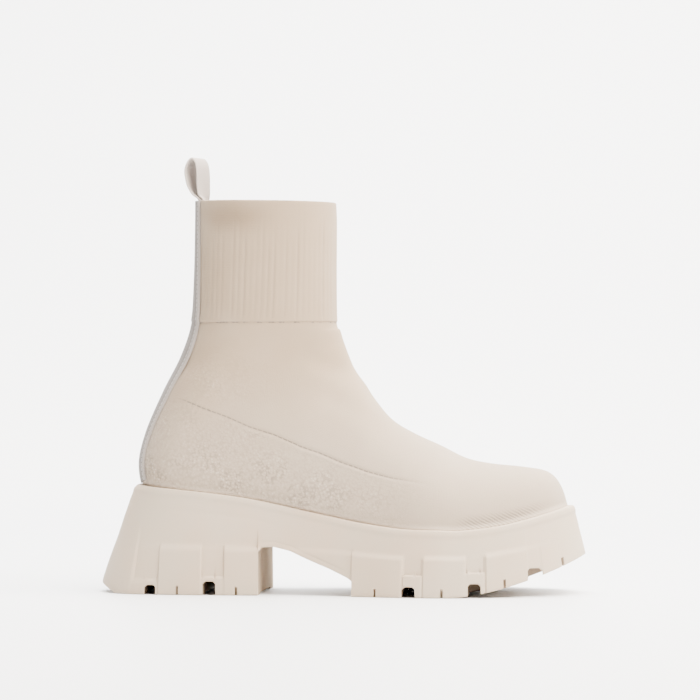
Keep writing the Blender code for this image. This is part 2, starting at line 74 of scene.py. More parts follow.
# Sole
HEEL_RIM = 0.0640
BALL_RIM = 0.0390
TOE_RIM = 0.0518
RIM_THICKNESS = 0.0028
SIDE_FLARE = 0.0042
HEEL_FLARE = 0.0200
TOE_FLARE = 0.0062
LUG_PROUD = 0.0018
GAP_SOFT = 0.0008  # run over which a lug's side drops into the gap
TOE_SPRING = 0.0228
SPRING_START = 0.735  # share of the foot's length
SPRING_CURVE = 1.6
HEEL_ROLL = 0.0065  # how high the tread has rolled up at the very back
ROLL_LENGTH = 0.0125
GROOVE_WIDTH = 0.0080
GROOVE_DEPTH = 0.0062
HEEL_BREAST = 0.0435  # front of the heel block along X
ARCH_LENGTH = 0.0552
ARCH_HEIGHT = 0.0280

# Small parts
INSOLE_THICKNESS = 0.004
TAPE_WIDTH = 0.032  # on the shaft
TAPE_SPREAD = 1.22  # width round the heel over that on the shaft
LOOP_WIDTH = 0.020
LOOP_THICKNESS = 0.0011
LOOP_RISE = 0.0260  # above the collar
LOOP_TAIL = 0.022  # sewn down below the collar
LOOP_BULGE = 0.0088  # between the two strands at the widest
LOOP_TWIST = np.radians(14)
TAPE_STITCHES = 0.0022  # from the tape's edge in to its row of stitches
LOOP_STITCHES = 0.0016
CLEARANCE = 0.0003
TAPE_GAP = 0.0001  # under the back tape
INSOLE_MARGIN = 0.0020  # between the insole's edge and the upper's inside
INSOLE_DISH = 0.0012  # how much lower its middle lies
COLLAR_LIFT = 0.0007  # how much higher the knit's edge stands at the collar
TAPE_LIFT = 0.0006  # the same for the tape
ROLL_HEIGHT = 0.30 * WALL  # of the collar's rolled edge
RIM_SWELL = 0.00035  # how far the knit swells where it meets the sole
CUFF_GIRTH = 0.235  # that the stitches are counted round

# Fineness
RIB_COLUMNS = 6  # columns of the upper's grid for each rib of the cuff
ROLL_ROWS = 8  # rows of points over the collar's rolled edge
SOLE_STATIONS = 420
SLOPE = 0.00004  # run of a groove's wall along X

# The foot, as upright sections. at: share of the foot's length from the heel's back. rise: top of
# the section over the bed, share of the instep height. half: share of half the ball width.
# centre: middle of the section towards the big toe, share of half the ball width.
# widest: where the section is widest, share of its height. top, base: roundness of its two ends,
# 2 for an ellipse and more for a squarer one.
FOOT = [
    # name, at, rise, half, centre, widest, top, base
    ("nose", 0.985, 0.330, 0.375, 0.110, 0.42, 2.2, 2.2),
    ("toe round", 0.954, 0.492, 0.615, 0.098, 0.36, 2.3, 2.6),
    ("toe box", 0.895, 0.606, 0.820, 0.076, 0.33, 2.3, 3.0),
    ("toe joints", 0.824, 0.684, 0.945, 0.048, 0.31, 2.2, 3.2),
    ("vamp point", 0.765, 0.744, 0.996, 0.024, 0.30, 2.15, 3.2),
    ("ball", 0.706, 0.838, 1.000, -0.012, 0.28, 2.05, 3.2),
    ("vamp", 0.644, 0.905, 0.945, -0.035, 0.27, 2.0, 3.1),
]

# Instep, heel and ankle, as sections that fan round the bend of the ankle. front, back: share of
# the foot's length from the heel's back, of the section's two ends. front_rise, back_rise: height
# over the heel's bed, share of the leg's height; a back_rise of 0 is on the bed.
# half: share of half the heel width.
FAN = [
    # name, front, front_rise, back, back_rise, half, centre, widest, top, base
    ("low instep", 0.593, 0.298, 0.549, 0.000, 1.185, -0.045, 0.27, 2.0, 3.0),
    ("instep", 0.5514, 0.365, 0.440, 0.000, 1.085, -0.045, 0.28, 2.0, 2.9),
    ("waist", 0.5298, 0.409, 0.310, 0.000, 1.035, -0.030, 0.29, 2.0, 2.8),
    ("seat front", 0.5161, 0.4355, 0.184, 0.000, 1.015, -0.012, 0.29, 2.0, 2.7),
    ("seat", 0.5071, 0.456, 0.086, 0.002, 1.005, 0.000, 0.28, 2.0, 2.6),
    ("heel corner", 0.4992, 0.476, 0.0235, 0.043, 1.000, 0.000, 0.27, 2.0, 2.45),
    ("heel back", 0.4914, 0.500, 0.000, 0.140, 1.000, 0.000, 0.27, 2.0, 2.3),
    ("heel top", 0.4835, 0.527, 0.0137, 0.247, 0.980, 0.000, 0.30, 2.0, 2.15),
    ("tendon", 0.4757, 0.558, 0.0549, 0.382, 0.945, 0.000, 0.36, 2.0, 2.05),
    ("ankle", 0.4694, 0.586, 0.0981, 0.500, 0.935, 0.000, 0.42, 2.05, 2.05),
]

# The cuff, as level sections. rise: over the heel's bed, share of the leg's height.
# back: share of the foot's length. depth: share of the shaft's depth. drop: how much lower the
# front is, share of the leg's height. half: share of half the shaft's width.
CUFF = [
    # name, rise, drop, back, depth, half, widest, top, base
    ("cuff seam", 0.611, 0.000, 0.1240, 1.040, 0.930, 0.45, 2.1, 2.1),
    ("cuff middle", 0.753, 0.000, 0.1317, 1.010, 0.965, 0.46, 2.15, 2.15),
    ("cuff top", 0.925, 0.002, 0.1345, 1.003, 1.000, 0.47, 2.15, 2.15),
    ("collar", 1.000, 0.006, 0.1350, 0.996, 1.006, 0.47, 2.15, 2.15),
]

# Lines along the sole. at: share of the foot's length. rim and bed: how far each line has climbed
# from the ball to the heel, or from the ball to the toe.
LINES = [
    # name, at, rim, bed
    ("heel", 0.00, 1.000, 1.000),
    ("heel seat", 0.14, 0.867, 1.000),
    ("breast", 0.25, 0.730, 0.985),
    ("waist", 0.325, 0.585, 0.910),
    ("arch", 0.395, 0.430, 0.760),
    ("arch front", 0.475, 0.265, 0.565),
    ("rise of the ball", 0.53, 0.155, 0.430),
    ("behind the ball", 0.628, 0.025, 0.150),
    ("ball", 0.715, 0.000, 0.005),
    ("ball front", 0.77, 0.000, 0.000),
    ("toe joints", 0.85, 0.200, 0.130),
    ("toe box", 0.925, 0.560, 0.460),
    ("toe", 0.985, 0.920, 0.860),
    ("tip", 1.00, 1.000, 1.000),
]
BALL_AT = 0.77

# Rows of points up the side: close ones round the lower edge, as shares of its rounding, even
# ones up to a height under the rim, and close ones over the bead, from the rim down in metres.
EDGE_ROWS = [0.0, 0.12, 0.35, 0.65, 1.0]
EVEN_ROWS = 36
EVEN_ROWS_END = 0.0042
BEAD_ROWS = [
    0.0038, 0.0034, 0.0030, 0.0026, 0.0020, 0.0014, 0.0009, 0.0006, 0.0004, 0.0002, 0.00008, 0
]
RIM_EDGE = 0.0006  # rounding of the rim's top

# The sole's side. height: from the tread, 0, over the lugs' top, 1, to the rim, 2.
# flare: share of the flare.
SIDE = [
    # height, flare
    (0.00, 1.00),
    (0.06, 1.00),
    (0.50, 0.81),
    (1.00, 0.60),
    (1.42, 0.42),
    (1.74, 0.25),
    (1.86, 0.17),
    (1.94, 0.10),
    (2.00, 0.00),
]

# Height of the lug zone, share of the side's height, at shares of the foot's length
LUG_ZONE = [
    # at, share
    (0.00, 0.46),
    (0.27, 0.50),
    (0.50, 0.60),
    (0.72, 0.62),
    (0.86, 0.60),
    (1.00, 0.48),
]

# Gaps between the side lugs. start, end: shares of the foot's length. ledge: top of the bar that
# joins the lugs below, from the floor in metres. depth: share of the lugs' depth.
GAPS = [
    # name, start, end, ledge, depth
    ("behind the rear block", -0.010, 0.060, 0.0088, 0.8),
    ("heel middle", 0.160, 0.217, 0.0104, 0.8),
    ("forefoot first", 0.627, 0.675, 0.0128, 1.0),
    ("forefoot second", 0.772, 0.821, 0.0145, 0.9),
    ("forefoot third", 0.914, 0.949, 0.0190, 0.3),
]

# Grooves across the tread. at: share of the foot's length. width, depth: shares of the named
# groove. web: how far the groove is filled in the middle of the sole.
GROOVES = [
    # name, at, width, depth, web
    ("heel rear", 0.0385, 0.92, 0.90, 0.0),
    ("heel middle", 0.1805, 0.98, 1.29, 0.0),
    ("forefoot first", 0.643, 0.96, 1.00, 0.0),
    ("forefoot second", 0.7935, 0.96, 1.05, 1.0),
    ("forefoot third", 0.932, 1.10, 0.90, 1.0),
]

# Short slits in the middle of each block, as shares of the foot's length
SIPES = [0.105, 0.244, 0.567, 0.718, 0.862, 0.994]

# Underside of the arch. along: share of the arch's length from the heel's breast.
# up: share of the arch's height.
ARCH = [
    # along, up
    (0.000, 0.90),
    (0.035, 1.00),
    (0.160, 1.01),
    (0.330, 0.93),
    (0.510, 0.765),
    (0.760, 0.56),
    (0.950, 0.38),
    (1.000, 0.30),
]

# Pull loop over the collar, from its front strand over the top to its back strand. out: from the
# front strand backwards, share of the bulge. up: share of the rise. twist: share of the twist.
# hug: how far the strap is bent round the heel's curve, 1 where it lies on it.
LOOP = [
    # out, up, twist, hug
    (0.12, 0.06, 0.20, 0.75),
    (0.17, 0.17, 0.80, 0.35),
    (0.18, 0.38, 1.00, 0.15),
    (0.18, 0.66, 1.00, 0.05),
    (0.27, 0.88, 1.00, 0.00),
    (0.54, 1.00, 1.00, 0.00),
    (0.84, 0.90, 1.00, 0.00),
    (1.00, 0.71, 1.00, 0.00),
    (0.93, 0.50, 1.00, 0.05),
    (0.81, 0.34, 1.00, 0.15),
    (0.62, 0.18, 0.75, 0.40),
    (0.44, 0.08, 0.20, 0.80),
]
# Its two ends, sewn down inside the collar. up: share of the tail, below the collar.
LOOP_ENDS = [-0.12, -0.50, -1.00]
END_HUG = 1.10

# The slanting seam between the fine knit and the heavier knit round the heel, seen from the side.
# at: share of the foot's length. height: share of the collar's height.
HEEL_SEAM = [
    # at, height
    (0.060, 0.508),
    (0.120, 0.491),
    (0.171, 0.469),
    (0.217, 0.451),
    (0.270, 0.425),
    (0.328, 0.405),
    (0.392, 0.375),
    (0.436, 0.359),
    (0.483, 0.337),
    (0.519, 0.324),
    (0.543, 0.314),
    (0.600, 0.298),
    (0.716, 0.279),
]
SEAM_FADES = (0.53, 0.71)  # shares of the foot's length between which the seam dies away

# Soft creases, seen from the side. start, end: along X and up, shares of the foot's length and of
# the collar's height. depth: share of the crease depth, below 0 for a ridge. width: metres.
CREASES = [
    # name, start_at, start_up, end_at, end_up, depth, width
    ("ankle front", 0.395, 0.600, 0.500, 0.560, 1.00, 0.0060),
    ("ankle front ridge", 0.400, 0.560, 0.515, 0.520, -0.60, 0.0070),
    ("low ankle", 0.440, 0.505, 0.560, 0.445, 0.80, 0.0060),
    ("instep", 0.560, 0.420, 0.640, 0.360, 0.45, 0.0060),
    ("tendon", 0.060, 0.560, 0.165, 0.600, 0.70, 0.0055),
    ("tendon ridge", 0.060, 0.520, 0.180, 0.555, -0.50, 0.0060),
    ("heel side", 0.060, 0.400, 0.200, 0.370, 0.40, 0.0090),
    ("vamp", 0.700, 0.330, 0.770, 0.262, 0.45, 0.0060),
]


def length_setting(name, text, value):
    return bpy.props.FloatProperty(name=name, description=text, default=value, unit="LENGTH")


def light_setting(name, text, value):
    return bpy.props.FloatProperty(name=name, description=text, default=value)


def color_setting(name, text, *value):
    return bpy.props.FloatVectorProperty(
        name=name, description=text, subtype="COLOR", size=3, default=value
    )


class KnitLook(bpy.types.PropertyGroup):
    """Sizes and colours of the knitted upper and its lining."""

    ribs: bpy.props.IntProperty(name="Ribs", description="Ribs round the cuff", default=68, min=24)
    rib_depth: length_setting("Rib depth", "Depth between two ribs", 0.00042)
    welt: length_setting("Welt", "Smoother band under the collar", 0.018)
    seam_depth: length_setting("Seam depth", "Depth of the seams", 0.00045)
    crease_depth: length_setting("Crease depth", "Depth of the deepest crease", 0.0007)
    wale: length_setting("Wale", "Width of one column of stitches", 0.00125)
    course: length_setting("Course", "Height of one row of stitches", 0.00095)
    color: color_setting("Knit", "Colour of the knit", 0.360, 0.266, 0.174)
    shade: color_setting("Knit shade", "Colour deep between the stitches", 0.190, 0.150, 0.115)
    # tint colours the painted shade beside the back tape, at the back of the cuff's top and along the
    # collar
    tint: color_setting("Brown tint", "Colour of the painted shade beside the back tape and at the collar", 0.190, 0.128, 0.072)
    low_color: color_setting("Low knit", "Colour of the knit round the foot", 0.385, 0.306, 0.228)
    # fleck also colours the painted light just above the rim
    fleck: color_setting("Fleck", "Light yarn in the heavier knit", 0.620, 0.520, 0.420)
    lining: color_setting("Lining", "Colour of the lining", 0.540, 0.430, 0.330)


class SoleLook(bpy.types.PropertyGroup):
    """Sizes and colour of the moulded sole."""

    bead: length_setting("Bead", "How far the rim's bead stands out", 0.0006)
    edge: length_setting("Edge", "Rounding of the tread's edges", 0.0009)
    slit: length_setting("Slit", "Width of the short slits", 0.0015)
    slit_depth: length_setting("Slit height", "How high the slits reach", 0.0046)
    slit_reach: length_setting("Slit depth", "How far in the slits reach", 0.0026)
    line: length_setting("Line", "Depth of the fine moulded lines", 0.0003)
    recess: length_setting("Recess", "Depth of the tread's middle", 0.0012)
    color: color_setting("Rubber", "Colour of the sole", 0.468, 0.386, 0.295)


class TrimLook(bpy.types.PropertyGroup):
    """Sizes and colours of the back tape and the pull loop."""

    tape: length_setting("Tape", "Thickness of the back tape", 0.0011)
    stitch: length_setting("Stitch", "Length of one stitch", 0.0027)
    color: color_setting("Webbing", "Colour of the pull loop", 0.500, 0.425, 0.375)
    tape_color: color_setting("Tape colour", "Colour of the back tape", 0.180, 0.154, 0.132)
    thread: color_setting("Thread", "Colour of the stitches", 0.560, 0.500, 0.450)


class StudioLook(bpy.types.PropertyGroup):
    """The camera's place, the paper and the light."""

    azimuth: bpy.props.FloatProperty(
        name="Azimuth", description="Turn of the camera towards the toe", default=np.radians(5.4),
        subtype="ANGLE",
    )
    distance: length_setting("Distance", "From the camera to the boot", 2.2)
    aim: bpy.props.FloatVectorProperty(
        name="Aim", description="Point in the picture's middle", subtype="XYZ", size=3,
        default=(0.09385, 0.0, 0.1436),
    )
    field: length_setting("Field", "Width of the picture at the boot", 0.4158)
    key: light_setting("Key", "Power of the softbox above", 270.0)
    fill: light_setting("Fill", "Power of the side light", 20.0)
    backdrop: light_setting("Backdrop", "Power of the light on the paper behind", 395.0)
    ambient: light_setting("Ambient", "Strength of the light all round", 0.36)
    warmth: color_setting("Warmth", "Colour of the lamps", 1.0, 0.93, 0.84)
    paper: color_setting("Wall", "Colour of the board behind", 0.92, 0.92, 0.92)
    floor: color_setting("Floor", "Colour of the board underfoot", 0.76, 0.77, 0.79)


def along(share):
    """X at a share of the foot's length from the heel's back."""
    return HEEL_BACK + share * FOOT_LENGTH


def share_of(x):
    """The share of the foot's length at X."""
    return (x - HEEL_BACK) / FOOT_LENGTH


def ease(low, high, value):
    """A step from 0 at low to 1 at high, as 3 t squared less 2 t cubed."""
    t = np.clip((value - low) / (high - low), 0, 1)
    return t * t * (3 - 2 * t)


def bump(value, width):
    """A bell of height 1 at 0: e to the minus square of value over width."""
    return np.exp(-((value / width) ** 2))


def rounded(beside, radius):
    """How far a rounded edge has risen, as a share, at a distance in from it."""
    return np.sqrt(1 - (1 - np.clip(beside / radius, 0, 1)) ** 2)


def running_length(points):
    """Length from the first row on, along a line of points or as the mean of a grid's columns."""
    gone = np.linalg.norm(np.diff(points, axis=0), axis=-1)
    return np.concatenate([[0], np.cumsum(gone.reshape(len(gone), -1).mean(axis=1))])


def catmull_rom(rows, s, before=None):
    """Rows read at positions s, on the cubic that Catmull and Rom draw through them.

    Between rows b and c, with a and d beyond them, each column is half of
    2b + (c - a) t + (2a - 5b + 4c - d) t squared + (3b - a - 3c + d) t cubed.
    """
    rows = np.array(rows, float)
    first = 2 * rows[0] - rows[1] if before is None else before
    padded = np.vstack([first, rows, 2 * rows[-1] - rows[-2]])
    index = np.clip(np.floor(s).astype(int), 0, len(rows) - 2)
    t = (s - index)[:, None]
    a, b, c, d = (padded[index + step] for step in range(4))
    square = (2 * a - 5 * b + 4 * c - d) * t**2
    cube = (3 * b - a - 3 * c + d) * t**3
    return (2 * b + (c - a) * t + square + cube) / 2


LINE_ROWS = np.array([row[1:] for row in LINES])
FINE_LINES = catmull_rom(LINE_ROWS, np.linspace(0, len(LINES) - 1, 4 * (len(LINES) - 1) + 1))


def line_height(x, column, heel, ball, toe):
    """Height of the rim or the bed at X, between its heights at heel, ball and toe."""
    share = np.clip(share_of(x), 0, 1)
    climbed = np.interp(share, FINE_LINES[:, 0], FINE_LINES[:, column])
    return ball + climbed * np.where(share < BALL_AT, heel - ball, toe - ball)


def rim_height(x):
    return line_height(x, 1, HEEL_RIM, BALL_RIM, TOE_RIM)


def bed_height(x):
    return line_height(x, 2, HEEL_BED, BALL_BED, TOE_BED)


def tread_height(x):
    """Height of the tread over the floor: flat, then rolled up at the heel and sprung at the toe."""
    back = HEEL_BACK - RIM_THICKNESS - HEEL_FLARE - LUG_PROUD
    rolled = np.clip((back + ROLL_LENGTH - x) / ROLL_LENGTH, 0, 1)
    spring_start = along(SPRING_START)
    tip = along(1) + RIM_THICKNESS + TOE_FLARE + LUG_PROUD
    sprung = np.clip((x - spring_start) / (tip - spring_start), 0, 1)
    return HEEL_ROLL * rolled + TOE_SPRING * sprung**SPRING_CURVE


def section_table():
    """Rows of front x, z, back x, z, half width, centre y, widest, top and base roundness.

    The first row is the toe's tip, a single point, and the last is the collar.
    """
    leg = COLLAR_HEIGHT - HEEL_BED
    rows = []
    for _, at, rise, half, centre, widest, top, base in FOOT:
        x = along(at)
        bed = float(bed_height(x))
        half_ball = BALL_WIDTH / 2
        high = bed + rise * INSTEP_HEIGHT
        rows.append((x, high, x, bed, half * half_ball, centre * half_ball, widest, top, base))
    for _, front, front_rise, back, back_rise, half, centre, widest, top, base in FAN:
        back_x = along(back)
        high = HEEL_BED + front_rise * leg
        low = float(bed_height(back_x)) + back_rise * leg
        size = (half * HEEL_WIDTH / 2, centre * HEEL_WIDTH / 2)
        rows.append((along(front), high, back_x, low, *size, widest, top, base))
    for _, rise, drop, back, depth, half, widest, top, base in CUFF:
        back_x = along(back)
        low = HEEL_BED + rise * leg
        front_x = back_x + depth * SHAFT_DEPTH
        size = (half * SHAFT_WIDTH / 2, 0)
        rows.append((front_x, low - drop * leg, back_x, low, *size, widest, top, base))
    rows = np.array(rows)
    tip = rows[0].copy()
    tip[[0, 2]] = along(1)
    tip[[1, 3]] = TIP_HEIGHT
    tip[4] = 0
    return np.vstack([tip, rows])


TABLE = section_table()
BEFORE_TIP = TABLE[1].copy()
BEFORE_TIP[[0, 1, 2, 3]] = TABLE[1][[2, 3, 0, 1]]
BEFORE_TIP[4] = -TABLE[1][4]
CUFF_AT = 1.0 + len(FOOT) + len(FAN)  # position of the cuff's seam, counted in rows
COLLAR_AT = len(TABLE) - 1.0
CUFF_SEAM = HEEL_BED + CUFF[0][1] * (COLLAR_HEIGHT - HEEL_BED)


def sections(s):
    """The section rows at positions s, from the toe's tip at 0 to the collar."""
    return catmull_rom(TABLE, s, BEFORE_TIP)


def section_points(rows, angles):
    """Points on each section at the given angles, 0 at its front and pi at its back.

    A section is a squared ellipse: its height goes with the cosine and its width with the sine,
    each to the power 2 over the roundness, above and below its widest level.
    """
    front_x, front_z, back_x, back_z, half, centre, widest, top, base = rows.T[:, :, None]
    cosine, sine = np.cos(angles), np.sin(angles)
    power = 2 / np.where(cosine >= 0, top, base)
    reach = np.abs(cosine) ** power
    height = np.where(cosine >= 0, widest + (1 - widest) * reach, widest * (1 - reach))
    y = centre - half * np.sign(sine) * np.abs(sine) ** power
    x = back_x + (front_x - back_x) * height
    z = back_z + (front_z - back_z) * height
    return np.stack([x, y, z], axis=2)


def outward(points):
    """Unit normals of a grid of sections that closes round each section."""
    up = np.gradient(points, axis=0)
    turn = np.roll(points, -1, axis=1) - np.roll(points, 1, axis=1)
    normal = np.cross(up, turn)
    normal /= np.maximum(np.linalg.norm(normal, axis=2, keepdims=True), 1e-12)
    normal[0] = (1, 0, 0)
    return normal


def even_angles(s, count):
    """Angles that part the section at s into equal lengths."""
    fine = np.linspace(0, 2 * np.pi, 2881)
    length = running_length(section_points(sections(np.array([s])), fine)[0])
    return np.interp(np.arange(count) / count * length[-1], length, fine)


def form(offset, rows=420, around=216):
    """The upper's outer form, moved outwards by offset, as a grid of sections."""
    s = np.linspace(0, COLLAR_AT, rows)
    points = section_points(sections(s), np.arange(around) * 2 * np.pi / around)
    step = np.where(s > CUFF_AT, CUFF_STEP, 0)
    return points + outward(points) * (step + offset)[:, None, None]


def outline(points, level):
    """Where a form crosses the height level(x): x and y rows of its lateral and medial side.

    On each section's side, the first point that lies under the level and the one before it give
    the crossing, by shares of their heights over it. Both sides run from heel back to toe tip.
    """
    half = points.shape[1] // 2
    closed = np.concatenate([points, points[:, :1]], axis=1)
    spine = points[:, half]
    over = spine[:, 2] - level(spine[:, 0])
    last = np.nonzero((over[:-1] <= 0) & (over[1:] > 0))[0][-1]
    share = over[last] / (over[last] - over[last + 1])
    back = spine[last] + share * (spine[last + 1] - spine[last])
    sides = []
    for ring in (closed[1:, : half + 1], closed[1:, : half - 1 : -1]):
        over = ring[:, :, 2] - level(ring[:, :, 0])
        crosses = (over[:, :-1] > 0) & (over[:, 1:] <= 0)
        rows = np.nonzero(crosses.any(axis=1))[0]
        first = crosses[rows].argmax(axis=1)
        above, below = over[rows, first], over[rows, first + 1]
        share = (above / (above - below))[:, None]
        found = ring[rows, first] + share * (ring[rows, first + 1] - ring[rows, first])
        side = np.vstack([points[0, 0], found, back])[:, :2]
        sides.append(side[np.argsort(side[:, 0])])
    return sides


def plan(sides, x):
    """The two sides' y at each X. The square of the half width is read, so both ends are round."""
    found = []
    back, tip = sides[0][0], sides[0][-1]
    middle_at = np.interp(x, [back[0], tip[0]], [back[1], tip[1]])
    for side in sides:
        middle = np.interp(side[:, 0], [back[0], tip[0]], [back[1], tip[1]])
        found.append(np.sqrt(np.interp(x, side[:, 0], (side[:, 1] - middle) ** 2)))
    return middle_at - found[0], middle_at + found[1]


def both_sides(sides, x):
    """Points and outward normals of the lateral and the medial side at stations x.

    X is read as a turn t, with X going from heel to toe as the cosine of t. At even turns the two
    sides make one loop. Its normals are averaged over a short run and then read at each station.
    """
    back, tip = sides[0][0, 0], sides[0][-1, 0]
    turn = np.linspace(0, np.pi, 1200)
    dense = back + (tip - back) * (1 - np.cos(turn)) / 2
    lateral, medial = plan(sides, dense)
    loop = np.vstack([np.stack([dense, lateral], 1), np.stack([dense, medial], 1)[-2:0:-1]])
    tangent = np.roll(loop, -1, axis=0) - np.roll(loop, 1, axis=0)
    wide = 11
    padded = np.vstack([tangent[-wide:], tangent, tangent[:wide]])
    sums = np.vstack([np.zeros((1, 2)), np.cumsum(padded, axis=0)])
    tangent = sums[2 * wide + 1 :] - sums[: -2 * wide - 1]
    normal = np.stack([tangent[:, 1], -tangent[:, 0]], axis=1)
    normal /= np.linalg.norm(normal, axis=1, keepdims=True)
    there = normal[: len(turn)]
    home = normal[np.concatenate([[0], np.arange(len(loop) - 1, len(turn) - 2, -1)])]
    at = np.arccos(np.clip(1 - 2 * (x - back) / (tip - back), -1, 1))
    found = []
    for y, side in zip(plan(sides, x), (there, home)):
        out = np.stack([np.interp(at, turn, side[:, axis]) for axis in range(2)], axis=1)
        found.append((np.stack([x, y], axis=1), out / np.linalg.norm(out, axis=1, keepdims=True)))
    return found


def even_stations(start, end, count):
    """X from start to end, closer together at both ends, by the cosine of half a turn."""
    return start + (end - start) * (1 - np.cos(np.linspace(0, np.pi, count))) / 2


def add_piece(name, points, faces, material, nodes=(), uv=None, values=None, smooth_angle=50):
    """An object from points and faces, riding on the boot's body.

    uv holds u and v for each corner of each face in order, and values holds named numbers for
    each point, which its material reads.
    """
    mesh = bpy.data.meshes.new(name)
    mesh.from_pydata(points, [], faces)
    if uv is not None:
        layer = mesh.uv_layers.new(name="thread")
        layer.data.foreach_set("uv", np.asarray(uv, np.float32).ravel())
    for key, value in (values or {}).items():
        attribute = mesh.attributes.new(key, "FLOAT", "POINT")
        attribute.data.foreach_set("value", np.asarray(value, np.float32).ravel())
    mesh.shade_smooth()
    mesh.set_sharp_from_angle(angle=np.radians(smooth_angle))
    mesh.materials.append(material)
    made = bpy.data.objects.new(name, mesh)
    link(made)
    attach(made, BODY)
    if nodes:
        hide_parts(*nodes)
    return made


def ring_quads(rows, columns, closed=True):
    """Quads of a grid of rows by columns, and the u and v counts of their corners."""
    across = np.arange(columns if closed else columns - 1)
    row, column = (part.ravel() for part in np.meshgrid(np.arange(rows - 1), across, indexing="ij"))
    after = (column + 1) % columns
    faces = np.stack([row * columns + column, (row + 1) * columns + column,
                      (row + 1) * columns + after, row * columns + after], axis=1)
    corners = np.stack([np.stack([column, row], 1), np.stack([column, row + 1], 1),
                        np.stack([column + 1, row + 1], 1), np.stack([column + 1, row], 1)], axis=1)
    return faces, corners.reshape(-1, 2)


class Graph:
    """A node tree, with short ways to add nodes and link them."""

    def __init__(self, tree):
        self.tree = tree

    def set(self, socket, value):
        """Links an input to another node's socket, or gives it a number, a vector or a colour."""
        if isinstance(value, bpy.types.NodeSocket):
            self.tree.links.new(value, socket)
        elif socket.type == "RGBA":
            socket.default_value = (*value, 1.0)
        else:
            socket.default_value = value

    def feed(self, node, **values):
        """Sets inputs of a node by name."""
        for key, value in values.items():
            self.set(node.inputs[key.replace("_", " ")], value)

    def add(self, kind, settings=None, **values):
        """A node with its settings, and its inputs by name."""
        made = self.tree.nodes.new(kind)
        for key, value in (settings or {}).items():
            setattr(made, key, value)
        self.feed(made, **values)
        return made

    def group(self, name, **values):
        """The outputs of a node group, which is built the first time that it is asked for."""
        tree = bpy.data.node_groups.get(name) or GROUPS[name](name)
        return self.add("ShaderNodeGroup", {"node_tree": tree}, **values).outputs

    def math(self, operation, *values, clamp=False):
        made = self.add("ShaderNodeMath", {"operation": operation, "use_clamp": clamp})
        for socket, value in zip(made.inputs, values):
            self.set(socket, value)
        return made.outputs[0]

    def scaled(self, value, by, plus=None, clamp=False):
        """A value times a second, plus a third where one is given."""
        if plus is None:
            return self.math("MULTIPLY", value, by, clamp=clamp)
        return self.math("MULTIPLY_ADD", value, by, plus, clamp=clamp)

    def plus(self, first, second, clamp=False):
        return self.math("ADD", first, second, clamp=clamp)

    def less(self, first, second):
        return self.math("SUBTRACT", first, second)

    def rest(self, value):
        """What the value leaves of 1."""
        return self.less(1.0, value)

    def over(self, value, size):
        return self.math("DIVIDE", value, size)

    def size(self, value):
        return self.math("ABSOLUTE", value)

    def sine(self, value, by):
        return self.math("SINE", self.scaled(value, by))

    def mix(self, share, low, high):
        """A colour between two colours."""
        made = self.add("ShaderNodeMix", {"data_type": "RGBA"})
        for index, value in ((0, share), (6, low), (7, high)):
            self.set(made.inputs[index], value)
        return made.outputs[2]

    def step(self, value, low, high):
        """0 at low, 1 at high, and eased between."""
        return self.add("ShaderNodeMapRange", {"interpolation_type": "SMOOTHSTEP"}, Value=value,
                        From_Min=low, From_Max=high).outputs[0]

    def noise(self, vector, scale, detail=2.0, rough=0.5):
        return self.add("ShaderNodeTexNoise", None, Vector=vector, Scale=scale, Detail=detail,
                        Roughness=rough).outputs["Fac"]

    def value(self, name):
        """A number stored on the mesh's points."""
        return self.add("ShaderNodeAttribute", {"attribute_name": name}).outputs["Fac"]

    def position(self):
        return self.add("ShaderNodeTexCoord").outputs["Object"]

    def thread(self):
        return self.add("ShaderNodeUVMap", {"uv_map": "thread"}).outputs[0]

    def stretch(self, vector, x, y, z=1.0):
        return self.add("ShaderNodeMapping", None, Vector=vector, Scale=(x, y, z)).outputs[0]

    def split(self, vector):
        return self.add("ShaderNodeSeparateXYZ", None, Vector=vector).outputs[:2]

    def bump(self, height, distance, strength):
        return self.add("ShaderNodeBump", None, Height=height, Distance=distance,
                        Strength=strength).outputs[0]


def new_group(name, inputs, outputs):
    """An empty node group: its tree, its graph, its inputs by name and its end node.

    An input that has no default number is a vector.
    """
    tree = bpy.data.node_groups.new(name, "ShaderNodeTree")
    for title, default in inputs.items():
        kind = "NodeSocketVector" if default is None else "NodeSocketFloat"
        socket = tree.interface.new_socket(title, in_out="INPUT", socket_type=kind)
        if default is not None:
            socket.default_value = default
    for title in outputs:
        tree.interface.new_socket(title, in_out="OUTPUT", socket_type="NodeSocketFloat")
    given = tree.nodes.new("NodeGroupInput").outputs
    return tree, Graph(tree), given, tree.nodes.new("NodeGroupOutput")


def stitches_group(name):
    """Knitted stitches from a vector that counts wales and courses: each wale is a column of Vs.

    The courses are shifted down towards a wale's edge, so that a wave along them draws the V, and
    the height falls off where two wales meet.
    """
    tree, graph, given, end = new_group(name, {"Vector": None, "Slant": 0.9}, ["Height"])
    wale, course = graph.split(given["Vector"])
    from_middle = graph.size(graph.less(graph.math("FRACT", wale), 0.5))
    slanted = graph.less(course, graph.scaled(from_middle, given["Slant"]))
    lobe = graph.scaled(graph.sine(slanted, 2 * np.pi), 0.35, 0.65)
    edge = graph.sine(graph.math("FRACT", graph.scaled(wale, 2.0)), np.pi)
    soft = graph.math("POWER", graph.math("MAXIMUM", edge, 0.001), 0.6)
    graph.feed(end, Height=graph.scaled(lobe, soft))
    return tree


def weave_group(name):
    """Woven webbing from a vector that counts threads both ways, as a herringbone.

    Diagonal waves lean one way on even bands and the other way on odd bands.
    """
    tree, graph, given, end = new_group(name, {"Vector": None, "Band": 8.0}, ["Height"])
    across, length = graph.split(given["Vector"])
    lean = graph.math("PINGPONG", across, given["Band"])
    thread = graph.scaled(graph.sine(across, 2 * np.pi), 0.2, 0.5)
    graph.feed(end, Height=graph.scaled(graph.sine(graph.plus(lean, length), np.pi), 0.4, thread))
    return tree


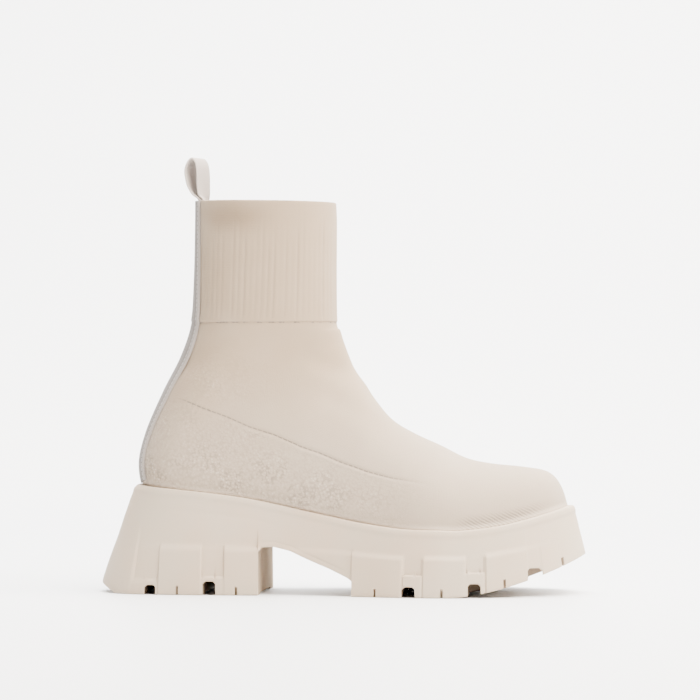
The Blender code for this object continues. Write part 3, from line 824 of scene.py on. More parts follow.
def grain_group(name):
    """Fine grain and slow clouds of colour, from Object coordinates in metres."""
    tree, graph, given, end = new_group(name, {"Vector": None, "Size": 1200.0}, ["Fine", "Cloud"])
    place = given["Vector"]
    fine = graph.noise(place, given["Size"], 3.0, 0.6)
    graph.feed(end, Fine=fine, Cloud=graph.noise(place, 22.0, 3.0, 0.55))
    return tree


def row_group(name):
    """A row of stitches and its groove. Away is 0 on the row, and Length counts stitches."""
    tree, graph, given, end = new_group(name, {"Away": 0.0, "Length": 0.0}, ["Thread", "Groove"])
    away = graph.size(given["Away"])
    dash = graph.step(graph.math("PINGPONG", given["Length"], 0.5), 0.06, 0.16)
    thread = graph.scaled(graph.rest(graph.step(away, 0.5, 1.0)), dash)
    graph.feed(end, Thread=thread, Groove=graph.rest(graph.step(away, 0.8, 2.4)))
    return tree


GROUPS = {
    "Knit stitches": stitches_group,
    "Webbing weave": weave_group,
    "Grain": grain_group,
    "Stitch row": row_group,
}


def new_material(name, color, rough, **inputs):
    """A material with a Principled BSDF, its graph and its shader."""
    material = bpy.data.materials.new(name)
    material.use_nodes = True
    material.diffuse_color = (*color, 1)
    graph = Graph(material.node_tree)
    shader = material.node_tree.nodes["Principled BSDF"]
    graph.feed(shader, Base_Color=color, Roughness=rough, **inputs)
    return material, graph, shader


def tinted(color, *tint):
    """A colour times a tint."""
    return tuple(np.multiply(color, tint))


def knit_material(look):
    """Fine knit, heavier flecked knit round the heel, twill at the toe and ribs on the cuff."""
    material, graph, shader = new_material(
        "Cream knit", look.color, 0.92, Sheen_Weight=0.12, Sheen_Roughness=0.5,
        Specular_IOR_Level=0.25,
    )
    thread = graph.thread()
    place = graph.position()
    grain = graph.group("Grain", Vector=place, Size=1500.0)
    fine = graph.stretch(thread, 1 / look.wale, 1 / look.course)
    stitch = graph.group("Knit stitches", Vector=fine, Slant=0.9)["Height"]

    # Dark and light tufts of the heavier knit
    curls = graph.add("ShaderNodeTexVoronoi", {"feature": "F1"}, Vector=place, Scale=640.0)
    wool = graph.scaled(graph.noise(place, 430.0, 2.0, 0.6), 0.9)
    tuft = graph.scaled(curls.outputs["Distance"], 0.6, wool)
    patches = graph.step(graph.noise(place, 75.0), 0.38, 0.62)
    worn = graph.scaled(graph.value("heavy"), graph.scaled(patches, 0.6, 0.4))
    dark = graph.scaled(worn, graph.step(tuft, 0.70, 0.95))
    light = graph.scaled(worn, graph.step(tuft, 0.66, 0.42))

    # Slanting twill at the toe
    slanted = graph.add("ShaderNodeMapping", None, Vector=place, Rotation=(0.0, 1.02, 0.0)).outputs[0]
    lines = graph.add("ShaderNodeTexWave", {"bands_direction": "X"}, Vector=slanted, Scale=195.0,
                      Distortion=2.2, Detail=2.0).outputs["Fac"]
    lines = graph.scaled(graph.rest(lines), graph.value("twill"))

    # Stitches along the heel's seam, and dots of linked yarn along the cuff's, with painted shade in
    # the grooves beside them
    row = 0.00055
    sewn = graph.group("Stitch row", Away=graph.over(graph.value("under_seam"), row),
                       Length=graph.over(graph.split(place)[0], 0.0030))
    seam = graph.scaled(sewn["Thread"], 0.75, graph.scaled(sewn["Groove"], 0.16))
    seam = graph.scaled(seam, graph.value("seam_shown"))
    linked = graph.group("Stitch row", Away=graph.over(graph.value("over_cuff"), row),
                         Length=graph.over(graph.split(thread)[0], 0.0021))
    missing = graph.step(graph.noise(place, 230.0, 1.0), 0.46, 0.60)
    dots = graph.scaled(graph.scaled(linked["Thread"], missing), 0.85)
    seam = graph.plus(seam, graph.scaled(linked["Groove"], 0.06, dots))

    # Painted shade deep between the stitches, in the cuff's rib grooves and where the knit is pressed
    # in along the tape (hollow); the dark tufts and twill lines are the yarn's own colour
    deep = graph.scaled(graph.rest(stitch), 0.07)
    for share, dip in ((0.66, dark), (0.85, lines), (0.36, graph.value("hollow"))):
        deep = graph.scaled(dip, share, deep)
    cloud = graph.scaled(graph.step(grain["Cloud"], 0.35, 0.75), 0.10)
    color = look.color
    for share, layer in (
        (graph.value("low"), look.low_color),
        # Painted shade in the brown tint beside the back tape and at the collar
        (graph.value("shaded"), look.tint),
        (graph.plus(seam, deep, clamp=True), look.shade),
        (graph.scaled(light, 0.50), look.fleck),
        # edge: painted light on the knit just above the rim, with random clouds of lighter yarn
        (graph.scaled(graph.value("edge"), 0.75, cloud, clamp=True), look.fleck),
        (graph.value("inside"), look.lining),
    ):
        color = graph.mix(share, color, layer)

    height = graph.scaled(stitch, 0.30)
    tufts = graph.less(light, dark)
    for share, part in ((1.4, tufts), (-1.1, lines), (-1.5, seam), (0.9, grain["Fine"])):
        height = graph.scaled(part, share, height)
    rough = graph.scaled(grain["Fine"], 0.1, graph.scaled(graph.value("cuff"), -0.04, 0.88))
    graph.feed(shader, Base_Color=color, Normal=graph.bump(height, 0.00022, 0.8), Roughness=rough)
    return material


def lining_material(look):
    """Brushed lining cloth: a small weave under short fibres."""
    material, graph, shader = new_material(
        "Brushed lining", look.lining, 0.95, Sheen_Weight=0.4, Sheen_Roughness=0.6,
        Specular_IOR_Level=0.2,
    )
    place = graph.position()
    fine = graph.group("Grain", Vector=place, Size=1900.0)["Fine"]
    weave = graph.stretch(place, 1400.0, 1400.0, 1400.0)
    threads = graph.group("Webbing weave", Vector=weave, Band=1.0)["Height"]
    color = graph.mix(graph.scaled(fine, 0.5), look.lining, look.fleck)
    height = graph.scaled(threads, 0.5, fine)
    graph.feed(shader, Base_Color=color, Normal=graph.bump(height, 0.0002, 0.6))
    return material


def webbing_material(look, name, color, edge):
    """Herringbone webbing with a row of stitches near each edge.

    u runs across in metres, 0 in the middle, and v along.
    """
    material, graph, shader = new_material(
        name, color, 0.8, Sheen_Weight=0.12, Sheen_Roughness=0.4, Specular_IOR_Level=0.3
    )
    thread = graph.thread()
    fine = graph.group("Grain", Vector=graph.position(), Size=1700.0)["Fine"]
    threads = graph.stretch(thread, 1700.0, 1250.0)
    weave = graph.group("Webbing weave", Vector=threads, Band=4.0)["Height"]
    across, length = graph.split(thread)
    beside = graph.less(graph.size(across), edge)
    row = graph.group("Stitch row", Away=graph.over(beside, 0.00045),
                      Length=graph.over(length, look.stitch))
    low = tinted(color, 0.72)
    color = graph.mix(graph.scaled(weave, 0.8), low, color)
    rim = graph.step(beside, 0.0007, 0.0012)
    # Painted shade along the stitch row's groove, in the weave's darker colour
    for share, part, layer in (
        (0.35, rim, look.thread), (0.35, row["Groove"], low), (0.6, row["Thread"], look.thread)
    ):
        color = graph.mix(graph.scaled(part, share), color, layer)
    height = graph.scaled(fine, 0.3)
    for share, part in ((0.6, weave), (-0.8, row["Groove"]), (1.6, row["Thread"])):
        height = graph.scaled(part, share, height)
    graph.feed(shader, Base_Color=color, Normal=graph.bump(height, 0.0002, 0.8))
    return material


def rubber_material(look):
    """Matt moulded foam rubber: fine grain, slow clouds, and painted shade with a dull shine in the
    grooves, the slits and under the arch.
    """
    material, graph, shader = new_material(
        "Moulded rubber", look.color, 0.5, Subsurface_Weight=0.12,
        Subsurface_Radius=(0.004, 0.003, 0.002), Subsurface_Scale=1.0,
    )
    grain = graph.group("Grain", Vector=graph.position(), Size=2300.0)
    deep = graph.value("groove")
    warm = tinted(look.color, 1.03, 0.97, 0.93)
    color = graph.mix(graph.step(grain["Cloud"], 0.35, 0.70), look.color, warm)
    # Painted shade where the groove mask is high: deep in the grooves, in the slits and under the arch
    color = graph.mix(graph.scaled(deep, 0.9), color, tinted(look.color, 0.42, 0.38, 0.35))
    shine = graph.scaled(graph.rest(graph.step(deep, 0.0, 0.2)), 0.2)
    rough = graph.scaled(grain["Fine"], 0.14, 0.52)
    graph.feed(shader, Base_Color=color, Roughness=rough, Specular_IOR_Level=shine,
               Normal=graph.bump(grain["Fine"], 0.00006, 0.5))
    return material


def paper_material(look):
    """The studio's satin board, greyer underfoot than on the wall behind."""
    material, graph, shader = new_material("Studio board", look.floor, 0.5, Specular_IOR_Level=0.5)
    graph.feed(shader, Base_Color=graph.mix(graph.value("far"), look.floor, look.paper))
    return material


def seam_height(x):
    """Height of the slanting heel seam at X."""
    at, height = np.array(HEEL_SEAM).T
    return np.interp(share_of(x), at, height) * COLLAR_HEIGHT


def crease_relief(points):
    """How far the creases move the knit, share of the crease depth.

    Each crease is a line in the side view. A point's distance from the line gives a bell, and its
    place along the line fades it out at both ends.
    """
    relief = np.zeros(points.shape[:-1])
    for _, start_at, start_up, end_at, end_up, depth, width in CREASES:
        start = np.array([along(start_at), start_up * COLLAR_HEIGHT])
        end = np.array([along(end_at), end_up * COLLAR_HEIGHT])
        line = end - start
        away = points[..., [0, 2]] - start
        share = away @ line / (line @ line)
        beside = (away[..., 0] * line[1] - away[..., 1] * line[0]) / np.linalg.norm(line)
        fade = ease(-0.30, 0.25, share) * ease(1.35, 0.80, share)
        relief -= depth * fade * bump(beside, width)
    return relief


def tape_width(z):
    """Width of the back tape at a height: it spreads from the collar down round the heel."""
    down = np.clip((COLLAR_HEIGHT - z) / (COLLAR_HEIGHT - HEEL_RIM), 0, 1)
    return TAPE_WIDTH * (1 + (TAPE_SPREAD - 1) * down)


def knit_relief(points, rib, look):
    """The knit's relief in metres, and the masks that its material reads, at each point.

    rib counts the cuff's ribs round the section. Lengths are in metres, and places along the foot
    are shares of its length.
    """
    x, y, z = np.moveaxis(points, 2, 0)
    at = share_of(x)
    over = z - CUFF_SEAM
    down = COLLAR_HEIGHT - z
    above_rim = z - rim_height(x)

    # Ribs of uneven depth, which start at uneven heights under the smoother welt
    number = np.round(rib)
    uneven = 0.56 + 0.44 * np.sin(number * 2.4) * np.cos(number * 1.1)
    starts = look.welt * (1 + 0.35 * np.sin(number * 1.7))
    tall = ease(0.0005, 0.0030, over) * (0.12 + 0.88 * ease(starts * 0.7, starts * 1.5, down))
    grooves = bump(rib - number, 0.17) * tall * uneven
    dots = 0.55 + 0.45 * np.cos(3 * np.pi * rib)
    relief = CUFF_STEP * ease(0.0002, 0.0010, over) - look.rib_depth * grooves
    relief = relief - 0.6 * look.seam_depth * bump(over, 0.0007) * dots

    # The heel's slanting seam, with a raised edge under it
    fade = ease(SEAM_FADES[1], SEAM_FADES[0], at) * ease(0.09, 0.14, at)
    below = seam_height(x) - z
    seam = bump(below, 0.0009) - 0.45 * bump(below - 0.0016, 0.0011)
    relief = relief - look.seam_depth * seam * fade + look.crease_depth * crease_relief(points)

    # The heavier knit under the seam, with a patch behind the ankle
    heavy = ease(0.0, 0.002, below) * ease(SEAM_FADES[1] + 0.02, 0.40, at)
    heavy = heavy * (0.45 + 0.55 * ease(0.032, 0.012, above_rim))
    patch = bump(x - along(0.21), 0.022) * bump(z - 0.545 * COLLAR_HEIGHT, 0.012)

    # The knit is pressed in along the tape and swells where it meets the sole
    behind = ease(0.35, 0.25, at)
    beside = np.abs(y) - tape_width(z) / 2
    pressed = bump(beside - 0.0003, 0.0008) * behind
    relief = relief - 0.0002 * pressed + RIM_SWELL * bump(above_rim, 0.0014)
    # Painted shade: a browner patch at the back of the cuff's top on the outer side, and a darker band
    # along the collar's top
    painted_collar_shade = bump(x - along(0.222), 0.020) * bump(down - 0.010, 0.008) * (y < 0)
    painted_collar_shade = painted_collar_shade + 0.16 * ease(0.020, 0.002, down)
    return relief, {
        "heavy": np.maximum(heavy, 0.55 * patch),
        "twill": ease(0.74, 0.79, at) * ease(0.97, 0.91, at) * ease(0.0095, 0.0035, above_rim),
        "cuff": ease(0, 0.001, over),
        # hollow: painted shade in the rib grooves and where the knit is pressed in along the tape
        "hollow": np.clip(0.7 * grooves + 0.9 * pressed, 0, 1),
        # shaded: painted shade beside the back tape at the back, and the painted shade at the collar
        "shaded": np.maximum(0.36 * bump(beside, 0.010) * behind, 0.72 * painted_collar_shade),
        "low": ease(0.150, 0.075, z),
        # edge: painted light on the knit just above the rim
        "edge": bump(above_rim - 0.0005, 0.0018),
        "under_seam": below,
        "seam_shown": fade,
        "over_cuff": over,
    }


def upper_positions():
    """Positions of the upper's rows: even between the table's rows, and close at the cuff's seam."""
    even = np.linspace(0, COLLAR_AT, 138)
    near_seam = CUFF_AT + np.linspace(-0.08, 0.08, 17)
    return np.sort(np.concatenate([even[np.abs(even - CUFF_AT) > 0.09], near_seam]))


def add_upper(look):
    """The knitted sock: its outside, the turned collar, and its inside down to the toe.

    Rows of points follow the table's sections. The outside is moved out by the knit's relief. At
    the collar the rows turn over half a circle of the wall's thickness, and the inside comes back
    down at the wall's thickness.
    """
    count = look.ribs * RIB_COLUMNS
    angles = even_angles(CUFF_AT + 1, count)
    rib = np.arange(count) / RIB_COLUMNS + 0.5
    s = upper_positions()
    base = section_points(sections(s), angles)
    normal = outward(base)
    relief, masks = knit_relief(base, rib[None, :], look)
    outside = base + normal * relief[:, :, None]
    lift = COLLAR_LIFT * ease(COLLAR_AT - 1, COLLAR_AT, s)
    lift = lift - ROLL_HEIGHT * ease(COLLAR_AT - 0.5, COLLAR_AT, s)
    outside[:, :, 2] += lift[:, None]

    turn = np.linspace(0, np.pi, ROLL_ROWS + 1)[1:, None, None]
    roll = outside[-1] - normal[-1] * WALL / 2 * (1 - np.cos(turn))
    roll[:, :, 2] += ROLL_HEIGHT * np.sin(turn[:, :, 0])
    coarse = np.linspace(COLLAR_AT - 0.05, 0, 46)
    shell = section_points(sections(coarse), angles)
    thick = WALL - np.where(coarse > CUFF_AT, CUFF_STEP, 0)
    inside = shell - outward(shell[::-1])[::-1] * thick[:, None, None]
    for tip in (outside[0], inside[-1]):
        tip[:] = tip[0]
    rows = np.concatenate([outside, roll, inside])

    faces, corners = ring_quads(len(rows), count)
    uv = np.stack([corners[:, 0] / count * CUFF_GIRTH, running_length(rows)[corners[:, 1]]], axis=1)
    hidden = np.zeros((len(rows) - len(outside), count))
    values = {key: np.concatenate([value, hidden]) for key, value in masks.items()}
    lined = np.arange(len(rows)) >= len(outside) + ROLL_ROWS // 2
    values["inside"] = np.repeat(lined, count)
    made = add_piece(
        "knit_upper", rows.reshape(-1, 3), faces, knit_material(look), ["upper"], uv, values, 70
    )
    merge_doubles(made)
    return made


def merge_doubles(made, distance=1e-7):
    """Joins points that lie on each other, such as those of a pole, and drops empty faces."""
    work = bmesh.new()
    work.from_mesh(made.data)
    bmesh.ops.remove_doubles(work, verts=work.verts, dist=distance)
    bmesh.ops.dissolve_degenerate(work, edges=work.edges, dist=distance / 10)
    work.to_mesh(made.data)
    work.free()


def underside(u):
    """Height of the sole's underside at u along its length: tread, grooves and arch.

    A groove's roof is level over most of its width and comes down a little at its two walls.
    """
    z = tread_height(u)
    for _, at, width, depth, _ in GROOVES:
        middle = along(at)
        base = float(tread_height(middle))
        half = width * GROOVE_WIDTH / 2
        top = base + depth * GROOVE_DEPTH
        roof = np.interp(np.abs(u - middle), [0.62 * half, half], [top, top - 0.45 * half])
        z = np.where(np.abs(u - middle) < half, np.maximum(roof, z), z)
    at, up = np.array(ARCH).T
    share = (u - HEEL_BREAST) / ARCH_LENGTH
    return np.where((share > 0) & (share < 1), np.interp(share, at, up) * ARCH_HEIGHT, z)


def wall_places(look):
    """Where the underside has an upright wall: arch, grooves and slits."""
    places = [HEEL_BREAST, HEEL_BREAST + ARCH_LENGTH]
    for _, at, width, _, _ in GROOVES:
        half = width * GROOVE_WIDTH / 2
        places += [along(at) - half, along(at) + half]
    for at in SIPES:
        places += [along(at) - look.slit / 2, along(at) + look.slit / 2]
    return np.array(places)


def lug_mask(u, z, below_top, sideways):
    """1 on the lugs and on the bars that join them below, 0 in the gaps and on the wall above.

    below_top is the height under the lugs' top. sideways is 1 on the sides and 0 at heel and toe,
    where the lugs run out softly up the wall instead of ending in a step.
    """
    lug = np.ones_like(u)
    bar = np.zeros_like(u)
    for _, start, end, ledge, depth in GAPS:
        start, end = along(start), along(end)
        gap = ease(start, start + GAP_SOFT, u) * ease(end, end - GAP_SOFT, u)
        lug = lug - depth * gap
        bar = np.maximum(bar, depth * gap * ease(ledge + 0.0003, ledge - 0.0003, z))
    front = HEEL_BREAST + ARCH_LENGTH
    waist = ease(HEEL_BREAST - 0.003, HEEL_BREAST + 0.010, u) * ease(front, front - GAP_SOFT, u)
    lug = lug * (1 - 0.55 * waist)
    crisp = ease(-0.0008, 0.0026, below_top)
    soft = ease(-0.020, 0.020, below_top)
    top = soft + (crisp - soft) * sideways
    return np.maximum(lug * top, bar)


def in_slit(u, look):
    """Whether u lies in one of the short slits."""
    return np.abs(u[:, None] - along(np.array(SIPES))).min(axis=1) < look.slit / 2


def full_flare(normal):
    """How far the tread stands out past the rim, and how much a side faces the heel or the toe."""
    heel = np.clip(-normal[:, 0], 0, 1) ** 2
    toe = np.clip(normal[:, 0], 0, 1) ** 2
    flare = SIDE_FLARE + (HEEL_FLARE - SIDE_FLARE) * heel + (TOE_FLARE - SIDE_FLARE) * toe
    return flare, np.maximum(heel, toe)


def side_surface(side, u, low, look):
    """Points up one side of the sole, from its underside to the rim.

    The heights are counted from the underside: close ones round the lower edge, then even ones,
    then close ones at the rim's bead. At each height the side stands out from the feather line by
    the rim's thickness, the flare, the bead and the lugs.
    """
    points, normal = side
    rim = rim_height(points[:, :1])
    low = low[:, None]
    wide_u = u[:, None]
    start = low + look.edge
    z = np.concatenate([
        low + look.edge * np.array(EDGE_ROWS),
        start + (rim - EVEN_ROWS_END - start) * np.linspace(0, 1, EVEN_ROWS + 1)[1:],
        rim - np.array(BEAD_ROWS),
    ], axis=1)
    tread = tread_height(wide_u)
    zone = np.interp(share_of(points[:, :1]), *np.array(LUG_ZONE).T)
    lug_top = tread + zone * (rim - tread)
    first = (z - tread) / (lug_top - tread)
    height = np.where(first < 1, first, 1 + (z - lug_top) / (rim - lug_top))
    down = rim - z
    full, end = full_flare(normal)
    sideways = ease(0.55, 0.25, end[:, None]) * (0.25 + 0.75 * ease(0.97, 0.83, share_of(wide_u)))
    wide_u = np.broadcast_to(wide_u, z.shape)
    mask = lug_mask(wide_u, z, lug_top - z, sideways)
    reach = RIM_THICKNESS + np.interp(height, *np.array(SIDE).T) * full[:, None]
    reach = reach + look.bead * ease(0.0052, 0.0024, down) + mask * LUG_PROUD

    arch = ease(HEEL_BREAST - 0.001, HEEL_BREAST + 0.002, wide_u)
    arch = arch * ease(HEEL_BREAST + ARCH_LENGTH, HEEL_BREAST + ARCH_LENGTH - 0.012, wide_u)
    reach = reach - look.line * arch * bump(z - underside(wide_u) - 0.0030, 0.0005)
    heel = ease(along(0.06), along(0.09), wide_u) * ease(along(0.34), along(0.28), wide_u)
    reach = reach - look.line * heel * bump(down - 0.0118, 0.0006)
    open_height = ease(look.slit_depth + 0.0004, look.slit_depth - 0.0004, z - low)
    reach = reach - look.slit_reach * in_slit(u, look)[:, None] * open_height
    for beside, radius in ((z - low, look.edge), (down, RIM_EDGE)):
        reach = reach - radius * (1 - rounded(beside, radius))
    flat = points[:, None, :] + normal[:, None, :] * reach[:, :, None]
    return np.concatenate([flat, z[:, :, None]], axis=2)


def cup_sides(share):
    """Points of the recess that the upper sits in, from the rim down to the bed, for each side."""
    shell = form(CLEARANCE)
    rows = [[], []]
    for up in (0.985, 0.8, 0.6, 0.4, 0.2, 0.04):
        def level(x):
            bed = bed_height(x) - CLEARANCE
            return bed + up * (rim_height(x) - bed)
        found = outline(shell, level)
        x = found[0][0][0] + share * (found[0][-1][0] - found[0][0][0])
        for side, y in zip(rows, plan(found, x)):
            side.append(np.stack([x, y, level(x)], axis=1))
    return [np.stack(side, axis=1) for side in rows]


def tread_surface(lateral, medial, u, look, count=39):
    """Points across the underside between its two lower edges.

    The middle is a little higher, and the grooves that have a web are filled there.
    """
    share = np.linspace(0, 1, count)
    across = lateral[:, None] + share[None, :, None] * (medial - lateral)[:, None]
    width = np.linalg.norm(medial - lateral, axis=1)[:, None]
    inward = np.minimum(share, 1 - share)[None, :] * width
    web = np.zeros_like(u)
    for _, at, size, _, filled in GROOVES:
        web = np.maximum(web, filled * (np.abs(u - along(at)) < size * GROOVE_WIDTH / 2))
    z = underside(u)[:, None] + look.recess * ease(0.012, 0.015, inward) * ease(0.03, 0.05, width)
    floor = tread_height(u)[:, None] + look.recess
    z = z + web[:, None] * ease(0.014, 0.017, inward) * (floor - z)
    across[:, :, 2] = z
    across[:, 0, 2], across[:, -1, 2] = lateral[:, 2], medial[:, 2]
    return across[:, 1:-1]


def deep_places(u):
    """Share of painted shade: 1 deep in the grooves and where the arch meets the heel, less towards the
    arch's front.
    """
    deep = np.clip((underside(u) - tread_height(u)) / 0.004, 0, 1)
    share = (u - HEEL_BREAST) / ARCH_LENGTH
    arch = np.where((share > 0) & (share < 1), 0.26 - 0.2 * np.clip(share, 0, 1), deep)
    return np.where(np.abs(u - HEEL_BREAST) < SLOPE, 0.40, arch)


def add_sole(look):
    """The moulded unit as closed sections from heel to toe: side, tread, side, rim and recess."""
    feather = outline(form(0), rim_height)
    back, tip = feather[0][0][0], feather[0][-1][0]

    def outer(x):
        sides = both_sides(feather, x)
        reached = [
            points[:, 0] + normal[:, 0] * (RIM_THICKNESS + full_flare(normal)[0] + LUG_PROUD)
            for points, normal in sides
        ]
        return sides, (reached[0] + reached[1]) / 2

    dense = even_stations(back, tip, 3000)
    walls = np.interp(wall_places(look), outer(dense)[1], dense)
    pairs = np.concatenate([walls - SLOPE / 2, walls + SLOPE / 2])
    even = even_stations(back, tip, SOLE_STATIONS)
    clear = even[np.abs(even[:, None] - pairs[None]).min(axis=1) > SLOPE]
    stations = np.sort(np.concatenate([clear, pairs]))
    sides, u = outer(stations)
    low = underside(u)
    lateral, medial = (side_surface(side, u, low, look) for side in sides)
    across = tread_surface(lateral[:, 0], medial[:, 0], u, look)
    cup = cup_sides((stations - back) / (tip - back))
    section = np.concatenate([cup[0][:, ::-1], lateral[:, ::-1], across, medial, cup[1]], axis=1)

    # groove holds painted shade: on the tread from deep_places, and half strength in the slits' lower
    # part on both sides
    mask = np.zeros(section.shape[:2])
    height = lateral.shape[1]
    first = cup[0].shape[1]
    tread = first + height
    second = tread + across.shape[1]
    mask[:, tread:second] = deep_places(u)[:, None]
    for start in (first, second):
        under_top = section[:, start : start + height, 2] - low[:, None] < look.slit_depth
        mask[:, start : start + height] = 0.5 * (in_slit(u, look)[:, None] & under_top)
    faces, _ = ring_quads(*section.shape[:2])
    made = add_piece(
        "moulded_sole", section.reshape(-1, 3), faces[:, ::-1], rubber_material(look),
        ["sole"], None, {"groove": mask}, 30,
    )
    merge_doubles(made, 2e-6)
    return made


def add_insole(look):
    """The lined board under the foot, with a softly rounded edge and a shallow dish."""
    inner = form(-(WALL + CLEARANCE))
    rings = []
    for inset, up in ((0.0, 0.0), (0.0, 0.72), (0.0004, 0.90), (0.0011, 1.0)):
        lift = WALL + 2.5 * CLEARANCE + up * INSOLE_THICKNESS
        sides = outline(inner, lambda x: bed_height(x) + lift)
        x = even_stations(sides[0][0][0], sides[0][-1][0], 150)
        for points, normal in both_sides(sides, x):
            flat = points - normal * (INSOLE_MARGIN + inset)
            rings.append(np.column_stack([flat, bed_height(points[:, 0]) + lift]))
    lateral, medial = np.stack(rings[0::2], axis=1), np.stack(rings[1::2], axis=1)
    share = np.linspace(0, 1, 22)[1:-1]
    gap = medial[:, -1:] - lateral[:, -1:]
    across = lateral[:, -1:] + share[None, :, None] * gap
    wide = ease(0.0, 0.03, np.linalg.norm(gap, axis=2))
    across[:, :, 2] -= INSOLE_DISH * np.sin(np.pi * share) * wide
    section = np.concatenate([lateral, across, medial[:, ::-1]], axis=1)
    faces, _ = ring_quads(*section.shape[:2])
    made = add_piece(
        "insole_board", section.reshape(-1, 3), faces, lining_material(look), ["insole"]
    )
    merge_doubles(made, 2e-6)
    return made


def spread_columns(count, fullness):
    """Shares from -1 to 1 across a strip, closer together at its edges."""
    turn = np.linspace(-0.5, 0.5, count) * np.pi * fullness
    return np.sin(turn) / np.sin(turn[-1])


def strip_normals(points):
    """Unit normals of a strip, from rows of points across it."""
    normal = np.cross(np.gradient(points, axis=0), np.gradient(points, axis=1))
    return normal / np.linalg.norm(normal, axis=2, keepdims=True)


def add_strip(name, node, material, points, over, under, across):
    """A sewn strip between two surfaces, with its edges and both ends closed.

    The surfaces are rows of points across the strip. Each section runs out over one and back along
    the other, so an end's quads join each point with the one below it. In the thread map u is the
    place across, and v is the length along the middle of points, both in metres.
    """
    rows, columns = points.shape[:2]
    size = 2 * columns
    faces, corners = ring_quads(rows, size)
    column = np.arange(columns - 1)
    first = np.stack([column, column + 1, size - 2 - column, size - 1 - column], axis=1)
    faces = np.concatenate([faces, first, first[:, ::-1] + (rows - 1) * size])
    length = running_length(points[:, columns // 2])
    u = np.concatenate([across, across[::-1], across[:1]])
    uv = np.zeros((4 * len(faces), 2))
    uv[: len(corners)] = np.stack([u[corners[:, 0]], length[corners[:, 1]]], axis=1)
    ring = np.concatenate([over, under[:, ::-1]], axis=1).reshape(-1, 3)
    return add_piece(name, ring, faces, material, [node], uv, None, 60)


def add_tape(look):
    """The back tape from just over the rim to the collar.

    Its outside stands on the upper's form by its thickness, rounded off at both edges, and its
    underside lies just on the knit.
    """
    s = np.linspace(CUFF_AT - 5, COLLAR_AT, 900)
    rows = sections(s)
    first = np.nonzero(rows[:, 3] > rim_height(rows[:, 2]) + 2 * CLEARANCE)[0][0]
    s = np.linspace(s[first], COLLAR_AT - 0.004, 170)
    rows = sections(s)
    width = tape_width(rows[:, 3])
    reach = np.arcsin(np.clip(width / 2 / rows[:, 4], 0, 0.95) ** (rows[:, 8] / 2))
    spread = spread_columns(41, 0.86)
    points = section_points(rows, np.pi + spread[None, :] * reach[:, None])
    step = CUFF_STEP * ease(0.0, 0.0008, rows[:, 3] - CUFF_SEAM)[:, None]
    beside = (1 - np.abs(spread)) * width[:, None] / 2
    thick = look.tape * (0.25 + 0.75 * rounded(beside, 0.0007))
    thick = thick - 0.00022 * bump(beside - TAPE_STITCHES, 0.0005)
    normal = strip_normals(points)
    lift = np.zeros((len(s), 1, 3))
    lift[:, 0, 2] = TAPE_LIFT * ease(COLLAR_AT - 1, COLLAR_AT, s)
    over = points + normal * (step + TAPE_GAP + thick)[:, :, None] + lift
    under = points + normal * (step - TAPE_GAP)[:, :, None] + lift
    material = webbing_material(look, "Sewn tape", look.tape_color, TAPE_WIDTH / 2 - TAPE_STITCHES)
    return add_strip(
        "heel_tape", "back_tape", material, points, over, under, spread * TAPE_WIDTH / 2
    )


def add_loop(look):
    """The pull loop: a webbing strap carried along its path, twisted and bent across.

    Each section is a flat strap across the path. Its middle runs through the table's rows, it is
    turned by the twist, and it sags back at its edges by the collar's curve times the hug.
    """
    collar = TABLE[-1]
    back, top = collar[2], collar[3]
    back_end = back - CUFF_STEP + WALL + 2 * CLEARANCE + LOOP_THICKNESS / 2
    front_end = back_end + LOOP_THICKNESS + CLEARANCE
    rows = [(front_end, top + up * LOOP_TAIL, 0, END_HUG) for up in LOOP_ENDS[::-1]]
    for out, up, twist, hug in LOOP:
        rows.append((front_end - out * LOOP_BULGE, top + up * LOOP_RISE, twist * LOOP_TWIST, hug))
    rows += [(back_end, top + up * LOOP_TAIL, 0, END_HUG) for up in LOOP_ENDS]
    x, z, twist, hug = catmull_rom(rows, np.linspace(0, len(rows) - 1, 171)).T[:, :, None]
    spread = spread_columns(27, 0.9)
    across = spread * LOOP_WIDTH / 2
    radius = collar[4] ** 2 / (collar[6] * SHAFT_DEPTH)
    sag = across**2 / (2 * radius)
    lean = across * np.cos(twist)
    points = np.stack([x + across * np.sin(twist) + sag * hug, lean, z + 0 * lean], axis=2)
    round_off = rounded((1 - np.abs(spread)) * LOOP_WIDTH / 2, 0.0006)
    half = strip_normals(points) * LOOP_THICKNESS / 2 * (0.3 + 0.7 * round_off)[None, :, None]
    material = webbing_material(look, "Loop webbing", look.color, LOOP_WIDTH / 2 - LOOP_STITCHES)
    return add_strip(
        "webbing_loop", "pull_loop", material, points, points + half, points - half, across
    )


def link(made):
    """Puts an object in the scene, and returns it."""
    bpy.context.scene.collection.objects.link(made)
    return made


def add_light(name, size, power, color, place, aim):
    """A square soft light at a place, turned to aim."""
    lamp = bpy.data.lights.new(name, "AREA")
    lamp.shape = "SQUARE"
    lamp.size = size
    lamp.energy = power
    lamp.color = color
    made = link(bpy.data.objects.new(name, lamp))
    made.location = place
    made.rotation_euler = (Vector(aim) - Vector(place)).to_track_quat("-Z", "Y").to_euler()


